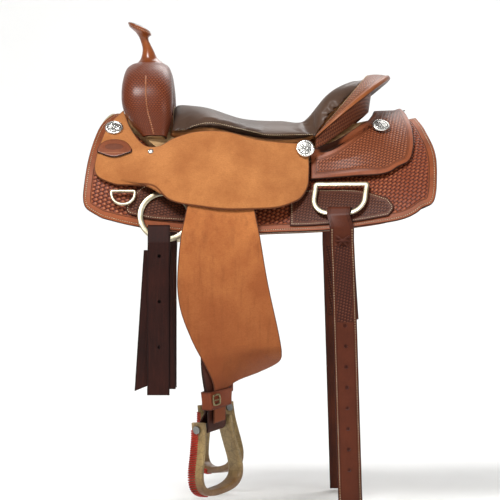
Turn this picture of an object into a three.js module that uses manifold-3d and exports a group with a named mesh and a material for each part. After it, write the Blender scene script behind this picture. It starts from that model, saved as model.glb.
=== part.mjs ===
// Western saddle, in millimetres. X runs towards the horse's tail, -Y is the near (left) side and +Z is up.
// The origin is on the centre plane, where the underside of the tree's channel meets the horse's back.
import * as THREE from 'three';
import { mergeVertices } from 'three/addons/utils/BufferGeometryUtils.js';
import Module from 'manifold-3d';

const wasm = await Module();
wasm.setup();

// Driving dimensions.
const BACK_RADIUS = 390;        // curve of the horse's back, across it
const MID_SLOPE = 24;           // slope in degrees beside the spine, at mid-length
const SLOPE_FALL = 0.02;        // how fast that slope eases towards the tail, in degrees a millimetre
const WITHERS = { rise: 104, reach: 227 };
const LOIN = { rise: 80, reach: 278 };
const GAP = 0.4;                // between pieces that touch
const FLEECE = 13.5;
const SKIRT = 5;
const SKIRT_IN = 18.3;
const SKIRT_OUT = SKIRT_IN + SKIRT;
const PLATE = 3.2;
const BAR_IN = SKIRT_OUT + 1.4;
const BAR_OUT = BAR_IN + 19;
const RING = { x: -190, z: -139, outer: 56, band: 12, thick: 4, lift: 31 };
const STRAP = 3.2;              // latigo and billet leather
const LATIGO_WIDTH = 45;
const BILLET_WIDTH = 48;
const DEE = { x: 159, top: -70, bottom: -137, width: 115, band: 10.5, thick: 4, lift: 36.5, corner: 34 };
const BREAST_DEE = { x: -275, top: -86, bottom: -118, width: 53, wire: 6, lift: 33.5, corner: 22 };
const FENDER = { lift: 7, thick: 3.5, top: -98, breakZ: -140, settle: 62 };
const LEATHER = { x: -88, width: 60, h: 46.2, thick: 3.5, top: -4, gap: 1.4 };
const TURN = { angle: 54, tilt: 8, from: -395, to: -508, inset: 8 };
const BOLT = { z: -556, radius: 5, sleeve: 8 };
const STIRRUP_DEPTH = 32;
const HOBBLE = { top: -484, bottom: -520, half: 33, thick: 3 };
const JOCKEY = 4;                // thickness of both jockeys
const LATIGO = { shift: -13, inner: 226.4, outer: 230.8, top: 26, drop: -240 };
const BILLET = { holes: 8, first: -357, pitch: 41, inner: 250, outer: 254.6, foot: -731 };
const HOLE = 7;                  // punched holes of the straps
const CANTLE = { frontX: 112, topX: 222, lowZ: 22, topZ: 157, half: 152 };

const LEATHERS = {
  rough: { color: '#c4824c', roughness: 0.9 },
  fender: { color: '#a8683c', roughness: 0.9 },
  seat: { color: '#4b372d', roughness: 0.45 },
  swell: { color: '#69321c', roughness: 0.4 },
  chestnut: { color: '#82411f', roughness: 0.4 },
  skirt: { color: '#5a2d1c', roughness: 0.5 },
  stamped: { color: '#6e3c28', roughness: 0.5 },
  binding: { color: '#82502d', roughness: 0.5 },
  latigo: { color: '#3c1e19', roughness: 0.6 },
  billet: { color: '#552314', roughness: 0.55 },
  hobble: { color: '#82462d', roughness: 0.6 },
};
const fleeceLook = { color: '#e1d2aa', roughness: 1 };
const woodLook = { color: '#b89468', roughness: 0.8 };
const rawhideLook = { color: '#968c5a', roughness: 0.6 };
const silverLook = { color: '#dcdcd7', roughness: 0.25, metalness: 1 };
const nickelLook = { color: '#cdc8b9', roughness: 0.35, metalness: 1 };
const steelLook = { color: '#8c8c8c', roughness: 0.4, metalness: 1 };
const brassLook = { color: '#8a7a52', roughness: 0.45, metalness: 1 };

const saddle = new THREE.Group();
const rad = THREE.MathUtils.degToRad;
const { lerp, smoothstep, clamp } = THREE.MathUtils;
const SIDES = [['near', -1], ['off', 1]];

// --- Solids ----------------------------------------------------------------------------------------------

// Turns a triangle list into a geometry whose faces point outwards.
function closed(points, triangles) {
  const flat = points.flatMap((p) => [p.x, p.y, p.z]);
  let volume = 0;
  for (let i = 0; i < triangles.length; i += 3) {
    const [a, b, c] = triangles.slice(i, i + 3).map((k) => points[k]);
    volume += a.dot(new THREE.Vector3().crossVectors(b, c));
  }
  const order = volume < 0 ? triangles.slice().reverse() : triangles;
  const geometry = new THREE.BufferGeometry();
  geometry.setAttribute('position', new THREE.Float32BufferAttribute(flat, 3));
  geometry.setIndex(order);
  return geometry;
}

function addPiece(name, geometry, look) {
  const mesh = new THREE.Mesh(geometry, new THREE.MeshStandardMaterial(look));
  mesh.name = name;
  saddle.add(mesh);
  return mesh;
}

// Joins rings of equal length. The ends are capped, or the last ring joins the first.
function loft(rings, looped = false) {
  const count = rings[0].length;
  const points = rings.flat();
  const triangles = [];
  const spans = looped ? rings.length : rings.length - 1;
  for (let i = 0; i < spans; i += 1) {
    const low = i * count;
    const high = ((i + 1) % rings.length) * count;
    for (let j = 0; j < count; j += 1) {
      const k = (j + 1) % count;
      triangles.push(low + j, low + k, high + k, low + j, high + k, high + j);
    }
  }
  if (!looped) {
    for (let j = 1; j < count - 1; j += 1) {
      const last = points.length - count;
      triangles.push(0, j + 1, j, last, last + j, last + j + 1);
    }
  }
  return closed(points, triangles);
}

// A sheet between two grids of points, closed round its edge.
function shell(inner, outer) {
  const rows = inner.length;
  const cols = inner[0].length;
  const points = [...inner.flat(), ...outer.flat()];
  const lift = rows * cols;
  const triangles = [];
  const quad = (a, b, c, d) => triangles.push(a, b, c, a, c, d);
  const at = (i, j) => i * cols + j;
  for (let i = 0; i < rows - 1; i += 1) {
    for (let j = 0; j < cols - 1; j += 1) {
      quad(at(i, j), at(i + 1, j), at(i + 1, j + 1), at(i, j + 1));
      quad(lift + at(i, j), lift + at(i, j + 1), lift + at(i + 1, j + 1), lift + at(i + 1, j));
    }
  }
  for (let i = 0; i < rows - 1; i += 1) {
    quad(at(i, 0), lift + at(i, 0), lift + at(i + 1, 0), at(i + 1, 0));
    quad(at(i, cols - 1), at(i + 1, cols - 1), lift + at(i + 1, cols - 1), lift + at(i, cols - 1));
  }
  for (let j = 0; j < cols - 1; j += 1) {
    quad(at(0, j), at(0, j + 1), lift + at(0, j + 1), lift + at(0, j));
    quad(at(rows - 1, j), lift + at(rows - 1, j), lift + at(rows - 1, j + 1), at(rows - 1, j + 1));
  }
  return closed(points, triangles);
}

function grid(rows, cols, at) {
  return Array.from({ length: rows }, (_, i) => (
    Array.from({ length: cols }, (__, j) => at(i / (rows - 1), j / (cols - 1)))));
}

function toManifold(geometry) {
  const bare = geometry.clone();
  bare.deleteAttribute('normal');
  bare.deleteAttribute('uv');
  const merged = mergeVertices(bare, 1e-4);
  const vertProperties = new Float32Array(merged.attributes.position.array);
  const triVerts = new Uint32Array(merged.index.array);
  return new wasm.Manifold(new wasm.Mesh({ numProp: 3, vertProperties, triVerts }));
}

function fromManifold(solid) {
  const mesh = solid.getMesh();
  const result = new THREE.BufferGeometry();
  result.setAttribute('position', new THREE.BufferAttribute(mesh.vertProperties, 3));
  result.setIndex(new THREE.BufferAttribute(mesh.triVerts, 1));
  return result;
}

function cut(geometry, tools) {
  let solid = toManifold(geometry);
  for (const tool of tools) {
    solid = solid.subtract(toManifold(tool));
  }
  return fromManifold(solid);
}

// A flat strap swept along a path. Its width runs along across, one direction or one for each point.
function strap(path, across, width, thick) {
  const rings = path.map((point, i) => {
    const before = path[Math.max(i - 1, 0)];
    const after = path[Math.min(i + 1, path.length - 1)];
    const side = (Array.isArray(across) ? across[i] : across).clone().normalize();
    const normal = new THREE.Vector3().subVectors(after, before).cross(side).normalize();
    const corner = (a, b) => (
      point.clone().addScaledVector(side, a * width / 2).addScaledVector(normal, b * thick / 2));
    return [corner(-1, -1), corner(1, -1), corner(1, 1), corner(-1, 1)];
  });
  return loft(rings);
}

// --- The horse's back, and shapes that lie on it ---------------------------------------------------------

function ridge(x) {
  const end = x < 0 ? WITHERS : LOIN;
  return end.rise * (1 - Math.exp(-((x / end.reach) ** 2)));
}

function slope(x) {
  return rad(MID_SLOPE - SLOPE_FALL * x);
}

// The point at angle phi round the back and height h above it, o is the distance out from the centre plane.
function onBack(x, phi, h) {
  const o = BACK_RADIUS * (Math.sin(phi) - Math.sin(slope(x))) + h * Math.sin(phi);
  const z = ridge(x) - BACK_RADIUS * (Math.cos(slope(x)) - Math.cos(phi)) + h * Math.cos(phi);
  return [x, o, z];
}

function world([x, o, z], side) {
  return new THREE.Vector3(x, side * o, z);
}

// The reverse of onBack: which angle and height a point has.
function locate(x, o, z) {
  const across = o + BACK_RADIUS * Math.sin(slope(x));
  const up = z - ridge(x) + BACK_RADIUS * Math.cos(slope(x));
  return new THREE.Vector3(x, Math.atan2(across, up), Math.hypot(across, up) - BACK_RADIUS);
}

function atZ(x, z, h) {
  const phi = Math.acos((z - ridge(x) + BACK_RADIUS * Math.cos(slope(x))) / (BACK_RADIUS + h));
  return new THREE.Vector3(x, phi, h);
}

function atY(x, o, h) {
  const phi = Math.asin((o + BACK_RADIUS * Math.sin(slope(x))) / (BACK_RADIUS + h));
  return new THREE.Vector3(x, phi, h);
}

// Where something flat hangs against the saddle: its centre, the way down its face, along it and out of it.
function resting(x, z, h, side) {
  const spot = (a, b) => world(onBack(...atZ(a, b, h).toArray()), side);
  const reach = 30;
  const rows = spot(x + reach, z).sub(spot(x - reach, z)).normalize();
  const down = spot(x, z - reach).sub(spot(x, z + reach)).normalize();
  const out = rows.clone().cross(down).normalize();
  out.multiplyScalar(Math.sign(out.y * side));
  down.addScaledVector(rows, -down.dot(rows)).normalize();
  return { centre: spot(x, z), along: rows, down, out };
}

// A patch between four boundary curves, each a smooth line through its points.
function patch(top, bottom, left, right) {
  const [T, B, L, R] = [top, bottom, left, right].map((points) => new THREE.CatmullRomCurve3(points));
  return (u, v) => {
    const point = T.getPoint(u).multiplyScalar(1 - v).addScaledVector(B.getPoint(u), v);
    point.addScaledVector(L.getPoint(v), 1 - u).addScaledVector(R.getPoint(v), u);
    point.addScaledVector(top[0], -(1 - u) * (1 - v)).addScaledVector(top.at(-1), -u * (1 - v));
    return point.addScaledVector(bottom[0], -(1 - u) * v).addScaledVector(bottom.at(-1), -u * v);
  };
}

function panel(at, rows, cols, thick, side) {
  const sheet = (lift) => grid(rows, cols, (u, v) => {
    const p = at(u, v);
    return world(onBack(p.x, p.y, p.z + lift), side);
  });
  return shell(sheet(0), sheet(thick));
}

function addPair(name, rows, cols, thick, look, at) {
  for (const [word, side] of SIDES) {
    addPiece(`${name}_${word}`, panel(at, rows, cols, thick, side), look);
  }
}

// --- Skirts, fleece, rigging plates ----------------------------------------------------------------------

function skirtPatch(h, inset) {
  const front = [atY(-284 + inset, 46, h), atZ(-306 + inset, 68, h), atZ(-332 + inset, 35, h),
    atZ(-352 + inset, -47, h), atZ(-357 + inset, -105, h), atZ(-344 + inset, -139 + inset, h)];
  const back = [atY(324 - inset, 42, h), atZ(341 - inset, 30, h), atZ(356 - inset, -33, h),
    atZ(352 - inset, -92, h), atZ(330 - inset, -123 + inset, h)];
  const top = [front[0], atY(-150, 44, h), atY(0, 40, h), atY(160, 40, h), back[0]];
  const bottom = [front.at(-1), atZ(-248, -161 + inset, h), atZ(0, -175 + inset, h),
    atZ(188, -163 + inset, h), atZ(290, -145 + inset, h), back.at(-1)];
  return patch(top, bottom, front, back);
}

function addSkirts() {
  addPair('fleece', 13, 5, FLEECE, fleeceLook, skirtPatch(1.5, 4));
  addPair('skirt', 16, 7, SKIRT, LEATHERS.skirt, skirtPatch(SKIRT_IN, 0));
}

// The rigging leathers, stitched along the lower skirt: a pointed one in front and a round-ended one behind.
function addPlates() {
  const h = SKIRT_OUT + 2 * GAP;
  const frontPlate = patch(
    [atZ(-268, -112, h), atZ(-240, -80, h), atZ(-190, -66, h), atZ(-120, -70, h)],
    [atZ(-264, -136, h), atZ(-220, -146, h), atZ(-170, -150, h), atZ(-120, -152, h)],
    [atZ(-268, -112, h), atZ(-270, -124, h), atZ(-264, -136, h)],
    [atZ(-120, -70, h), atZ(-120, -152, h)]);
  addPair('front_plate', 9, 5, PLATE, LEATHERS.skirt, frontPlate);
  const rearPlate = patch(
    [atZ(60, -88, h), atZ(120, -86, h), atZ(200, -88, h), atZ(256, -104, h)],
    [atZ(60, -160, h), atZ(120, -158, h), atZ(200, -150, h), atZ(256, -140, h)],
    [atZ(60, -88, h), atZ(60, -160, h)],
    [atZ(256, -104, h), atZ(267, -122, h), atZ(256, -140, h)]);
  addPair('rear_plate', 9, 5, PLATE, LEATHERS.skirt, rearPlate);
}

// --- The tree: bars, fork, cantle, horn ------------------------------------------------------------------

function addBars() {
  const bar = patch(
    [atY(-262, 60, BAR_IN), atY(-150, 52, BAR_IN), atY(0, 46, BAR_IN), atY(140, 44, BAR_IN),
      atY(222, 50, BAR_IN)],
    [atY(-262, 96, BAR_IN), atY(-190, 134, BAR_IN), atY(0, 106, BAR_IN), atY(140, 116, BAR_IN),
      atY(222, 86, BAR_IN)],
    [atY(-262, 60, BAR_IN), atY(-272, 78, BAR_IN), atY(-262, 96, BAR_IN)],
    [atY(222, 50, BAR_IN), atY(232, 68, BAR_IN), atY(222, 86, BAR_IN)]);
  addPair('tree_bar', 13, 4, BAR_OUT - BAR_IN, woodLook, bar);
}

// The space that a tree bar fills, down through the horse. The fork and the ground seat are cut to fit it.
function barBed(side) {
  const h = BAR_OUT + 1.4;
  const bed = patch(
    [atY(-310, -4, h), atY(120, -4, h)], [atY(-310, 190, h), atY(120, 190, h)],
    [atY(-310, -4, h), atY(-310, 190, h)], [atY(120, -4, h), atY(120, 190, h)]);
  const lowered = (u, v) => bed(u, v).add(new THREE.Vector3(0, 0, -90));
  return panel(lowered, 11, 6, 90, side);
}

// The fork's middle line, as [x, out, z] with the half depth along X and the half thickness round the arch.
const FORK_STATIONS = [
  [-230, 0, 152, 41, 30], [-231, 52, 142, 45, 33], [-231, 92, 112, 48, 38], [-229, 108, 82, 46, 35],
  [-222, 116, 50, 35, 25], [-214, 125, 20, 20, 14],
];

function forkRings(grow, wrap) {
  const line = new THREE.CatmullRomCurve3(FORK_STATIONS.map(([x, o, z]) => new THREE.Vector3(x, o, z)));
  const size = new THREE.SplineCurve(FORK_STATIONS.map((s) => new THREE.Vector2(s[3], s[4])));
  const rings = [];
  for (let i = -10; i <= 10; i += 1) {
    const t = Math.abs(i) / 10;
    const mirror = Math.sign(i) || 1;
    const p = line.getPoint(t);
    const tangent = line.getTangent(t);
    const normal = new THREE.Vector3(0, t === 0 ? 0 : -tangent.z, t === 0 ? 1 : tangent.y).normalize();
    const half = size.getPoint(t);
    const place = ([a, b]) => new THREE.Vector3(
      p.x + a, mirror * (p.y + b * normal.y), p.z + b * normal.z);
    rings.push(wrap.map(([a, scale]) => place([
      Math.cos(a) * (half.x + grow * scale), Math.sin(a) * (half.y + grow * scale)])));
  }
  return rings;
}

// Angles round the fork's section, 90 degrees is its outer side.
function sweep(from, to, steps, scale) {
  return Array.from({ length: steps + 1 }, (_, i) => [rad(lerp(from, to, i / steps)), scale]);
}

function addFork() {
  const beds = SIDES.map(([, side]) => barBed(side));
  const core = loft(forkRings(0, sweep(0, 330, 11, 0)));
  addPiece('tree_fork', cut(core, beds), woodLook);
  const skin = 4;
  const around = sweep(210, -30, 8, 1);
  const cover = shell(forkRings(2 * GAP, around), forkRings(2 * GAP + skin, around));
  addPiece('swell_cover', cut(cover, beds), LEATHERS.swell);
  const under = [-141, -120, -90, -60, -39].map((angle) => [rad(angle), 1]);
  const lining = shell(forkRings(2 * GAP, under), forkRings(2 * GAP + 2.5, under));
  addPiece('gullet_lining', cut(lining, beds), LEATHERS.chestnut);
}

// A stack of oval sections: [x, z, half length, half width, lean in degrees].
function stack(stations, sides) {
  return loft(stations.map(([x, z, a, b, lean]) => Array.from({ length: sides }, (_, i) => {
    const turn = rad(360 * i / sides);
    const along = Math.cos(turn) * a;
    const fall = along * Math.sin(rad(lean));
    return new THREE.Vector3(x + along * Math.cos(rad(lean)), Math.sin(turn) * b, z - fall);
  })));
}

// The horn's neck, from its foot on the fork up to the cap.
const NECK = [[-229, 188.5, 19, 20, 0], [-231, 197, 12.5, 13.5, 6], [-233, 212, 9, 10, 12],
  [-239, 228, 7.4, 8.4, 18], [-246, 243, 6.4, 7.4, 22], [-248.2, 247.2, 6.2, 7.2, 22]];
const CAP_LEAN = 22;

function neckWith(grow, from = 0) {
  return NECK.slice(from).map(([x, z, a, b, lean]) => [x, z, a + grow, b + grow, lean]);
}

function addHorn() {
  addPiece('horn_core', stack([...NECK, [-249, 250.6, 6.2, 7.2, CAP_LEAN], [-249.4, 251.6, 20, 23, CAP_LEAN],
    [-252, 258, 20, 23, CAP_LEAN]], 14), steelLook);
  const skin = 3.6;
  const bore = stack([[-229, 186, 19 + GAP, 20 + GAP, 0], ...neckWith(GAP),
    [-249, 250, 6.8, 7.8, CAP_LEAN]], 14);
  const sleeve = stack(neckWith(skin), 14);
  addPiece('horn_wrap', cut(sleeve, [bore]), LEATHERS.chestnut);
  const cap = stack([[-247.9, 247.9, 21, 24, CAP_LEAN], [-249, 250.6, 24.5, 27.5, CAP_LEAN],
    [-252.4, 260, 25.5, 28.5, CAP_LEAN], [-254, 264.5, 23, 26, CAP_LEAN],
    [-254.8, 266.4, 16, 19, CAP_LEAN]], 20);
  const hollow = stack([[-246, 243, 13, 14, CAP_LEAN], [-248.8, 250, 13, 14, CAP_LEAN],
    [-248.9, 250.1, 21, 24, CAP_LEAN], [-252.3, 258.8, 21, 24, CAP_LEAN]], 14);
  addPiece('horn_cap', cut(cap, [hollow]), LEATHERS.chestnut);
}

// --- Seat and cantle -------------------------------------------------------------------------------------

function spline(pairs) {
  const curve = new THREE.SplineCurve(pairs.map(([x, z]) => new THREE.Vector2(x, z)));
  const samples = curve.getPoints(80);
  return (x) => {
    const k = samples.findIndex((p) => p.x >= x);
    if (k <= 0) {
      return k === 0 ? samples[0].y : samples.at(-1).y;
    }
    const [a, b] = [samples[k - 1], samples[k]];
    return lerp(a.y, b.y, (x - a.x) / (b.x - a.x));
  };
}

const crest = spline([[-182, 93], [-141, 90], [-104, 84], [-39, 63], [20, 58], [80, 60], [97, 67], [120, 94],
  [141, 117], [175, 141], [205, 153], [222, 157]]);
const seatEdge = spline([[-182, 34], [-154, 35], [-126, 46], [-97, 50], [-67, 45], [-10, 31], [19, 25],
  [82, 25], [112, 22]]);
const seatHalf = spline([[-182, 124], [-154, 136], [-126, 142], [-67, 148], [0, 151], [60, 153],
  [112, 152]]);

function rimHalf(x) {
  const c = clamp((x - CANTLE.frontX) / (CANTLE.topX - CANTLE.frontX), 0, 1);
  return CANTLE.half * (1 - c ** 2.3) ** (1 / 2.1);
}

function rimZ(x) {
  return lerp(CANTLE.lowZ, CANTLE.topZ, (x - CANTLE.frontX) / (CANTLE.topX - CANTLE.frontX));
}

// The top of the seat at x, and at v from -1 to 1 across it.
function seatPoint(x, v) {
  const onCantle = x > CANTLE.frontX;
  const half = onCantle ? rimHalf(x) : seatHalf(x);
  const low = onCantle ? rimZ(x) : seatEdge(x);
  const dish = smoothstep(x, 40, 150) * (1 - smoothstep(x, 170, 221));
  const crown = 1 - Math.abs(v) ** lerp(2.4, 5, smoothstep(x, 60, 150));
  const hollow = 36 * dish * (1 - Math.min(1, (v / 0.75) ** 2)) ** 2;
  return new THREE.Vector3(x, v * half, low + (crest(x) - low) * crown - hollow);
}

function seatX(u) {
  const straight = 0.6;
  if (u < straight) {
    return lerp(-182, CANTLE.frontX, u / straight);
  }
  const turn = (u - straight) / (1 - straight);
  return lerp(CANTLE.frontX, CANTLE.topX - 0.6, Math.sin(turn * Math.PI / 2));
}

function seatShell(top, bottom, spread) {
  const sheet = (drop) => grid(15, 10, (u, w) => {
    const v = Math.sin((w * 2 - 1) * Math.PI / 2) * spread;
    const p = seatPoint(seatX(u), v);
    return p.setZ(p.z - drop(Math.abs(v)));
  });
  return shell(sheet(bottom), sheet(top));
}

function addSeat() {
  addPiece('seat_pad', seatShell(() => 0, (v) => lerp(15, 5.5, v ** 3), 1), LEATHERS.seat);
  const ground = seatShell((v) => lerp(19, 16, v ** 3), () => 25, 0.88);
  addPiece('ground_seat', cut(ground, SIDES.map(([, side]) => barBed(side))), LEATHERS.chestnut);
}

// A point of the cantle's rim. t runs from -1 at the near end to 1 at the off end.
function rim(t) {
  const turn = t * 0.995 * Math.PI / 2;
  const x = lerp(CANTLE.frontX, CANTLE.topX, Math.cos(turn));
  const point = new THREE.Vector3(x, Math.sign(t) * rimHalf(x), rimZ(x));
  const out = new THREE.Vector3(Math.cos(turn), Math.sin(turn), 0).normalize();
  return { point, out, height: Math.cos(turn) };
}

// A band round the cantle whose section is given as [out, up] for each station.
function cantleBand(section, rows = 25) {
  return loft(Array.from({ length: rows }, (_, i) => {
    const t = (i / (rows - 1)) * 2 - 1;
    const { point, out, height } = rim(t);
    return section(height, t).map(([a, b]) => (
      point.clone().addScaledVector(out, a).add(new THREE.Vector3(0, 0, b))));
  }));
}

function addCantle() {
  addPiece('cantle_binding', cantleBand((height) => {
    const width = lerp(10, 51, height ** 0.45);
    const deep = lerp(5, 12, height ** 0.5);
    return [[0.8, -0.5], [width * 0.4, 2.5], [width - 3, -1], [width, -deep * 0.6], [width - 5, -deep],
      [0.8, -deep * 0.8]];
  }), LEATHERS.binding);
  const foot = (height) => lerp(-22, -76, height ** 0.8);
  // How far out the wooden cantle's rear face stands at a given drop below the rim.
  const rear = (height, drop) => lerp(13, 8 - 6 * height, drop / foot(height));
  addPiece('tree_cantle', cantleBand((height) => {
    const low = foot(height) + 3;
    const high = lerp(-16, -26.5, height);
    return [[rear(height, high) - 10, high], [rear(height, high), high], [rear(height, low), low],
      [rear(height, low) - 10, low]];
  }, 25), woodLook);
  addPiece('cantle_back', cantleBand((height) => {
    const low = foot(height);
    const high = -lerp(6, 13.5, height ** 0.5);
    const inner = 2 * GAP;
    return [[rear(height, high) + inner, high], [rear(height, high) + inner + 3, high],
      [rear(height, low) + inner + 3, low], [rear(height, low) + inner, low]];
  }, 25), LEATHERS.binding);
}

// --- Jockeys ---------------------------------------------------------------------------------------------

function edgePoint(x, drop, out) {
  return locate(x, seatHalf(x) + out, seatEdge(x) - drop);
}

function seatJockeyPatch() {
  const top = [atY(-282, 56, 29), atY(-264, 104, 33), atY(-238, 142, 42), atY(-206, 152, 52),
    edgePoint(-176, 16, 18), edgePoint(-126, 14, 2), edgePoint(-67, 14, -2), edgePoint(0, 14, -2),
    locate(97, 146, 8)];
  const bottom = [atZ(-305, -78, 28), atZ(-249, -79, 32), atZ(-212, -85, 42), atZ(-181, -108, 54),
    atZ(-108, -123, 59), atZ(-24, -127, 59), atZ(46, -121, 50), atZ(97, -100, 29)];
  const left = [top[0], atZ(-318, 30, 28), atZ(-335, -40, 28), bottom[0]];
  const right = [top.at(-1), atZ(100, -40, 50), bottom.at(-1)];
  return patch(top, bottom, left, right);
}

function rearJockeyPatch() {
  const top = [locate(103, 150, -3), locate(150, 161, 12), locate(198, 138, 42), locate(226, 92, 60),
    locate(236, 48, 73), locate(239, 3, 80)];
  const bottom = [atZ(103, -66, 31), atZ(189, -60, 35), atZ(250, -55, 31), atZ(288, -40, 27)];
  const left = [top[0], atZ(103, -30, 44), bottom[0]];
  const right = [top.at(-1), atY(280, 6, 31), atY(298, 12, 30), atZ(313, 24, 28), atZ(311, -8, 27),
    bottom.at(-1)];
  return patch(top, bottom, left, right);
}

const seatJockey = seatJockeyPatch();
const rearJockey = rearJockeyPatch();

function addJockeys() {
  addPair('seat_jockey', 19, 7, JOCKEY, LEATHERS.rough, seatJockey);
  addPair('rear_jockey', 12, 6, JOCKEY, LEATHERS.stamped, rearJockey);
  const [start, height, fall] = [244, 35, 0.12];
  const line = [start, 260, 276, 292, 304].map((x) => (
    world(onBack(...atY(x, 0, height - (x - start) * fall).toArray()), 1)));
  addPiece('back_lacing', strap(line, new THREE.Vector3(0, 1, 0), 4, 5), LEATHERS.latigo);
}

// Where a patch's outer face has a given x and z.
function findOn(at, thick, x, z) {
  let best = { miss: Infinity, u: 0.5, v: 0.5 };
  let span = 0.5;
  for (let round = 0; round < 14; round += 1) {
    const { u: midU, v: midV } = best;
    for (let k = 0; k < 81; k += 1) {
      const u = clamp(midU + span * ((k % 9) - 4) / 4, 0, 1);
      const v = clamp(midV + span * (Math.floor(k / 9) - 4) / 4, 0, 1);
      const p = at(u, v);
      const [px, , pz] = onBack(p.x, p.y, p.z + thick);
      const miss = Math.hypot(px - x, pz - z);
      best = miss < best.miss ? { miss, u, v } : best;
    }
    span *= 0.6;
  }
  return best;
}

// The point and the outward direction of a patch's outer face at x and z.
function faceAt(at, thick, x, z, side) {
  const { u, v } = findOn(at, thick, x, z);
  const point = (a, b) => {
    const p = at(a, b);
    return world(onBack(p.x, p.y, p.z + thick), side);
  };
  const small = 0.02;
  const here = point(u, v);
  const alongU = point(Math.min(u + small, 1), v).sub(point(Math.max(u - small, 0), v));
  const alongV = point(u, Math.min(v + small, 1)).sub(point(u, Math.max(v - small, 0)));
  const out = alongU.cross(alongV).normalize();
  return { here, out: out.y * side < 0 ? out.negate() : out, h: at(u, v).z + thick };
}

// --- Small fittings --------------------------------------------------------------------------------------

function turned(profile, sides) {
  const lathe = new THREE.LatheGeometry(profile.map(([r, y]) => new THREE.Vector2(r, y)), sides);
  lathe.deleteAttribute('normal');
  lathe.deleteAttribute('uv');
  const merged = mergeVertices(lathe, 1e-4);
  const spots = merged.attributes.position;
  const points = Array.from({ length: spots.count }, (_, i) => (
    new THREE.Vector3().fromBufferAttribute(spots, i)));
  const index = Array.from(merged.index.array);
  const kept = [];
  for (let i = 0; i < index.length; i += 3) {
    const [a, b, c] = index.slice(i, i + 3);
    if (a !== b && b !== c && c !== a) {
      kept.push(a, b, c);
    }
  }
  return closed(points, kept);
}

function aim(mesh, here, out) {
  mesh.position.copy(here);
  mesh.quaternion.setFromUnitVectors(new THREE.Vector3(0, 1, 0), out);
}

const CONCHO = [[0, 0], [18.6, 0], [19, 1.4], [12, 3.6], [0, 4.8]];
const SCREW = [[0, 0], [6, 0], [6, 1], [3.6, 2.6], [0, 3.2]];

function addConchos() {
  const spots = [['front', seatJockey, -298, 42, 0.8], ['middle', seatJockey, 92, -3, 3.6],
    ['rear', rearJockey, 246, 42, 6]];
  for (const [word, side] of SIDES) {
    for (const [place, at, x, z, lift] of spots) {
      const { here, out } = faceAt(at, JOCKEY, x, z, side);
      const concho = addPiece(`${place}_concho_${word}`, turned(CONCHO, 14), silverLook);
      aim(concho, here.addScaledVector(out, lift), out);
    }
    const { here, out } = faceAt(seatJockey, JOCKEY, -221, -8, side);
    const screw = addPiece(`jockey_screw_${word}`, turned(SCREW, 10), silverLook);
    aim(screw, here.addScaledVector(out, 0.6), out);
  }
}

// A half-moon of leather on the front of the jockey, which the loose end of the latigo is put through.
function addKeepers() {
  const place = ([x, z]) => atZ(x, z, faceAt(seatJockey, JOCKEY, x, z, 1).h + 1);
  const top = [[-331, -4], [-322, 9], [-296, 17], [-270, 10], [-259, -4]].map(place);
  const bottom = [[-330, -10], [-296, -20], [-260, -10]].map(place);
  const keeper = patch(top, bottom, [top[0], bottom[0]], [top.at(-1), bottom.at(-1)]);
  addPair('latigo_keeper', 9, 4, 4, LEATHERS.chestnut, keeper);
}

function ringRest(side) {
  return resting(RING.x, RING.z, RING.lift, side);
}

function addRings() {
  const { outer, band, thick } = RING;
  const [a, b] = [outer - band, outer];
  const section = [[a, -thick / 2], [b, -thick / 2], [b, thick / 2], [a, thick / 2], [a, -thick / 2]];
  for (const [word, side] of SIDES) {
    const { centre, out } = ringRest(side);
    aim(addPiece(`front_ring_${word}`, turned(section, 28), nickelLook), centre, out);
  }
}

// The bend of a strap over a bar: from and to are the bar's edges, measured down from the centre.
function overBar({ centre, along, down, out }, shift, from, to, play = 0.8) {
  const off = RING.thick / 2 + play + STRAP / 2;
  const lead = from - 0.8 - STRAP / 2;
  const [below, shoulder] = [to + 4, off - 2.2];
  const bend = [[below, -off], [from, -off], [lead, -shoulder], [lead, shoulder], [from, off], [below, off]];
  return bend.map(([low, away]) => (
    centre.clone().addScaledVector(along, shift).addScaledVector(down, low).addScaledVector(out, away)));
}

// Directions across a strap that lies along a bar in its bend and hangs square to X below it.
function acrossBend(before, along, after) {
  const straight = new THREE.Vector3(1, 0, 0);
  return [...Array(before).fill(straight), ...Array(6).fill(along), ...Array(after).fill(straight)];
}

function punch(x, z, side) {
  const drill = new THREE.CylinderGeometry(HOLE / 2, HOLE / 2, 60, 8);
  drill.translate(x, side * 240, z);
  return drill;
}

function addFrontStraps() {
  const x = RING.x + LATIGO.shift;
  for (const [word, side] of SIDES) {
    const near = word === 'near';
    const rest = ringRest(side);
    const bend = overBar(rest, LATIGO.shift, LATIGO.top, RING.outer);
    const slip = near ? 12 : 0;
    const ends = near ? [-485, -497] : [-440, -508];
    const at = (px, o, z) => world([px, o, z], side);
    const path = [at(x + slip, LATIGO.inner, ends[0]), at(x + slip / 2, LATIGO.inner, LATIGO.drop), ...bend,
      at(x, LATIGO.outer, LATIGO.drop), at(x, LATIGO.outer, ends[1])];
    const body = strap(path, acrossBend(2, rest.along, 2), LATIGO_WIDTH, STRAP);
    const holes = (near ? [-219, -310, -401] : [-330, -380, -430, -480]).map((z) => punch(x + 2, z, side));
    if (near) {
      const tail = strap([at(-210, LATIGO.inner - 1, -204), at(-213, LATIGO.inner - 3, -250),
        at(-228, LATIGO.inner - 4.2, -480)], new THREE.Vector3(1, 0, 0.06), LATIGO_WIDTH, STRAP);
      addPiece('latigo', cut(join(body, tail), holes), LEATHERS.latigo);
    } else {
      addPiece('off_billet', cut(body, holes), LEATHERS.latigo);
    }
  }
}

function join(first, second) {
  return fromManifold(toManifold(first).add(toManifold(second)));
}

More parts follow.
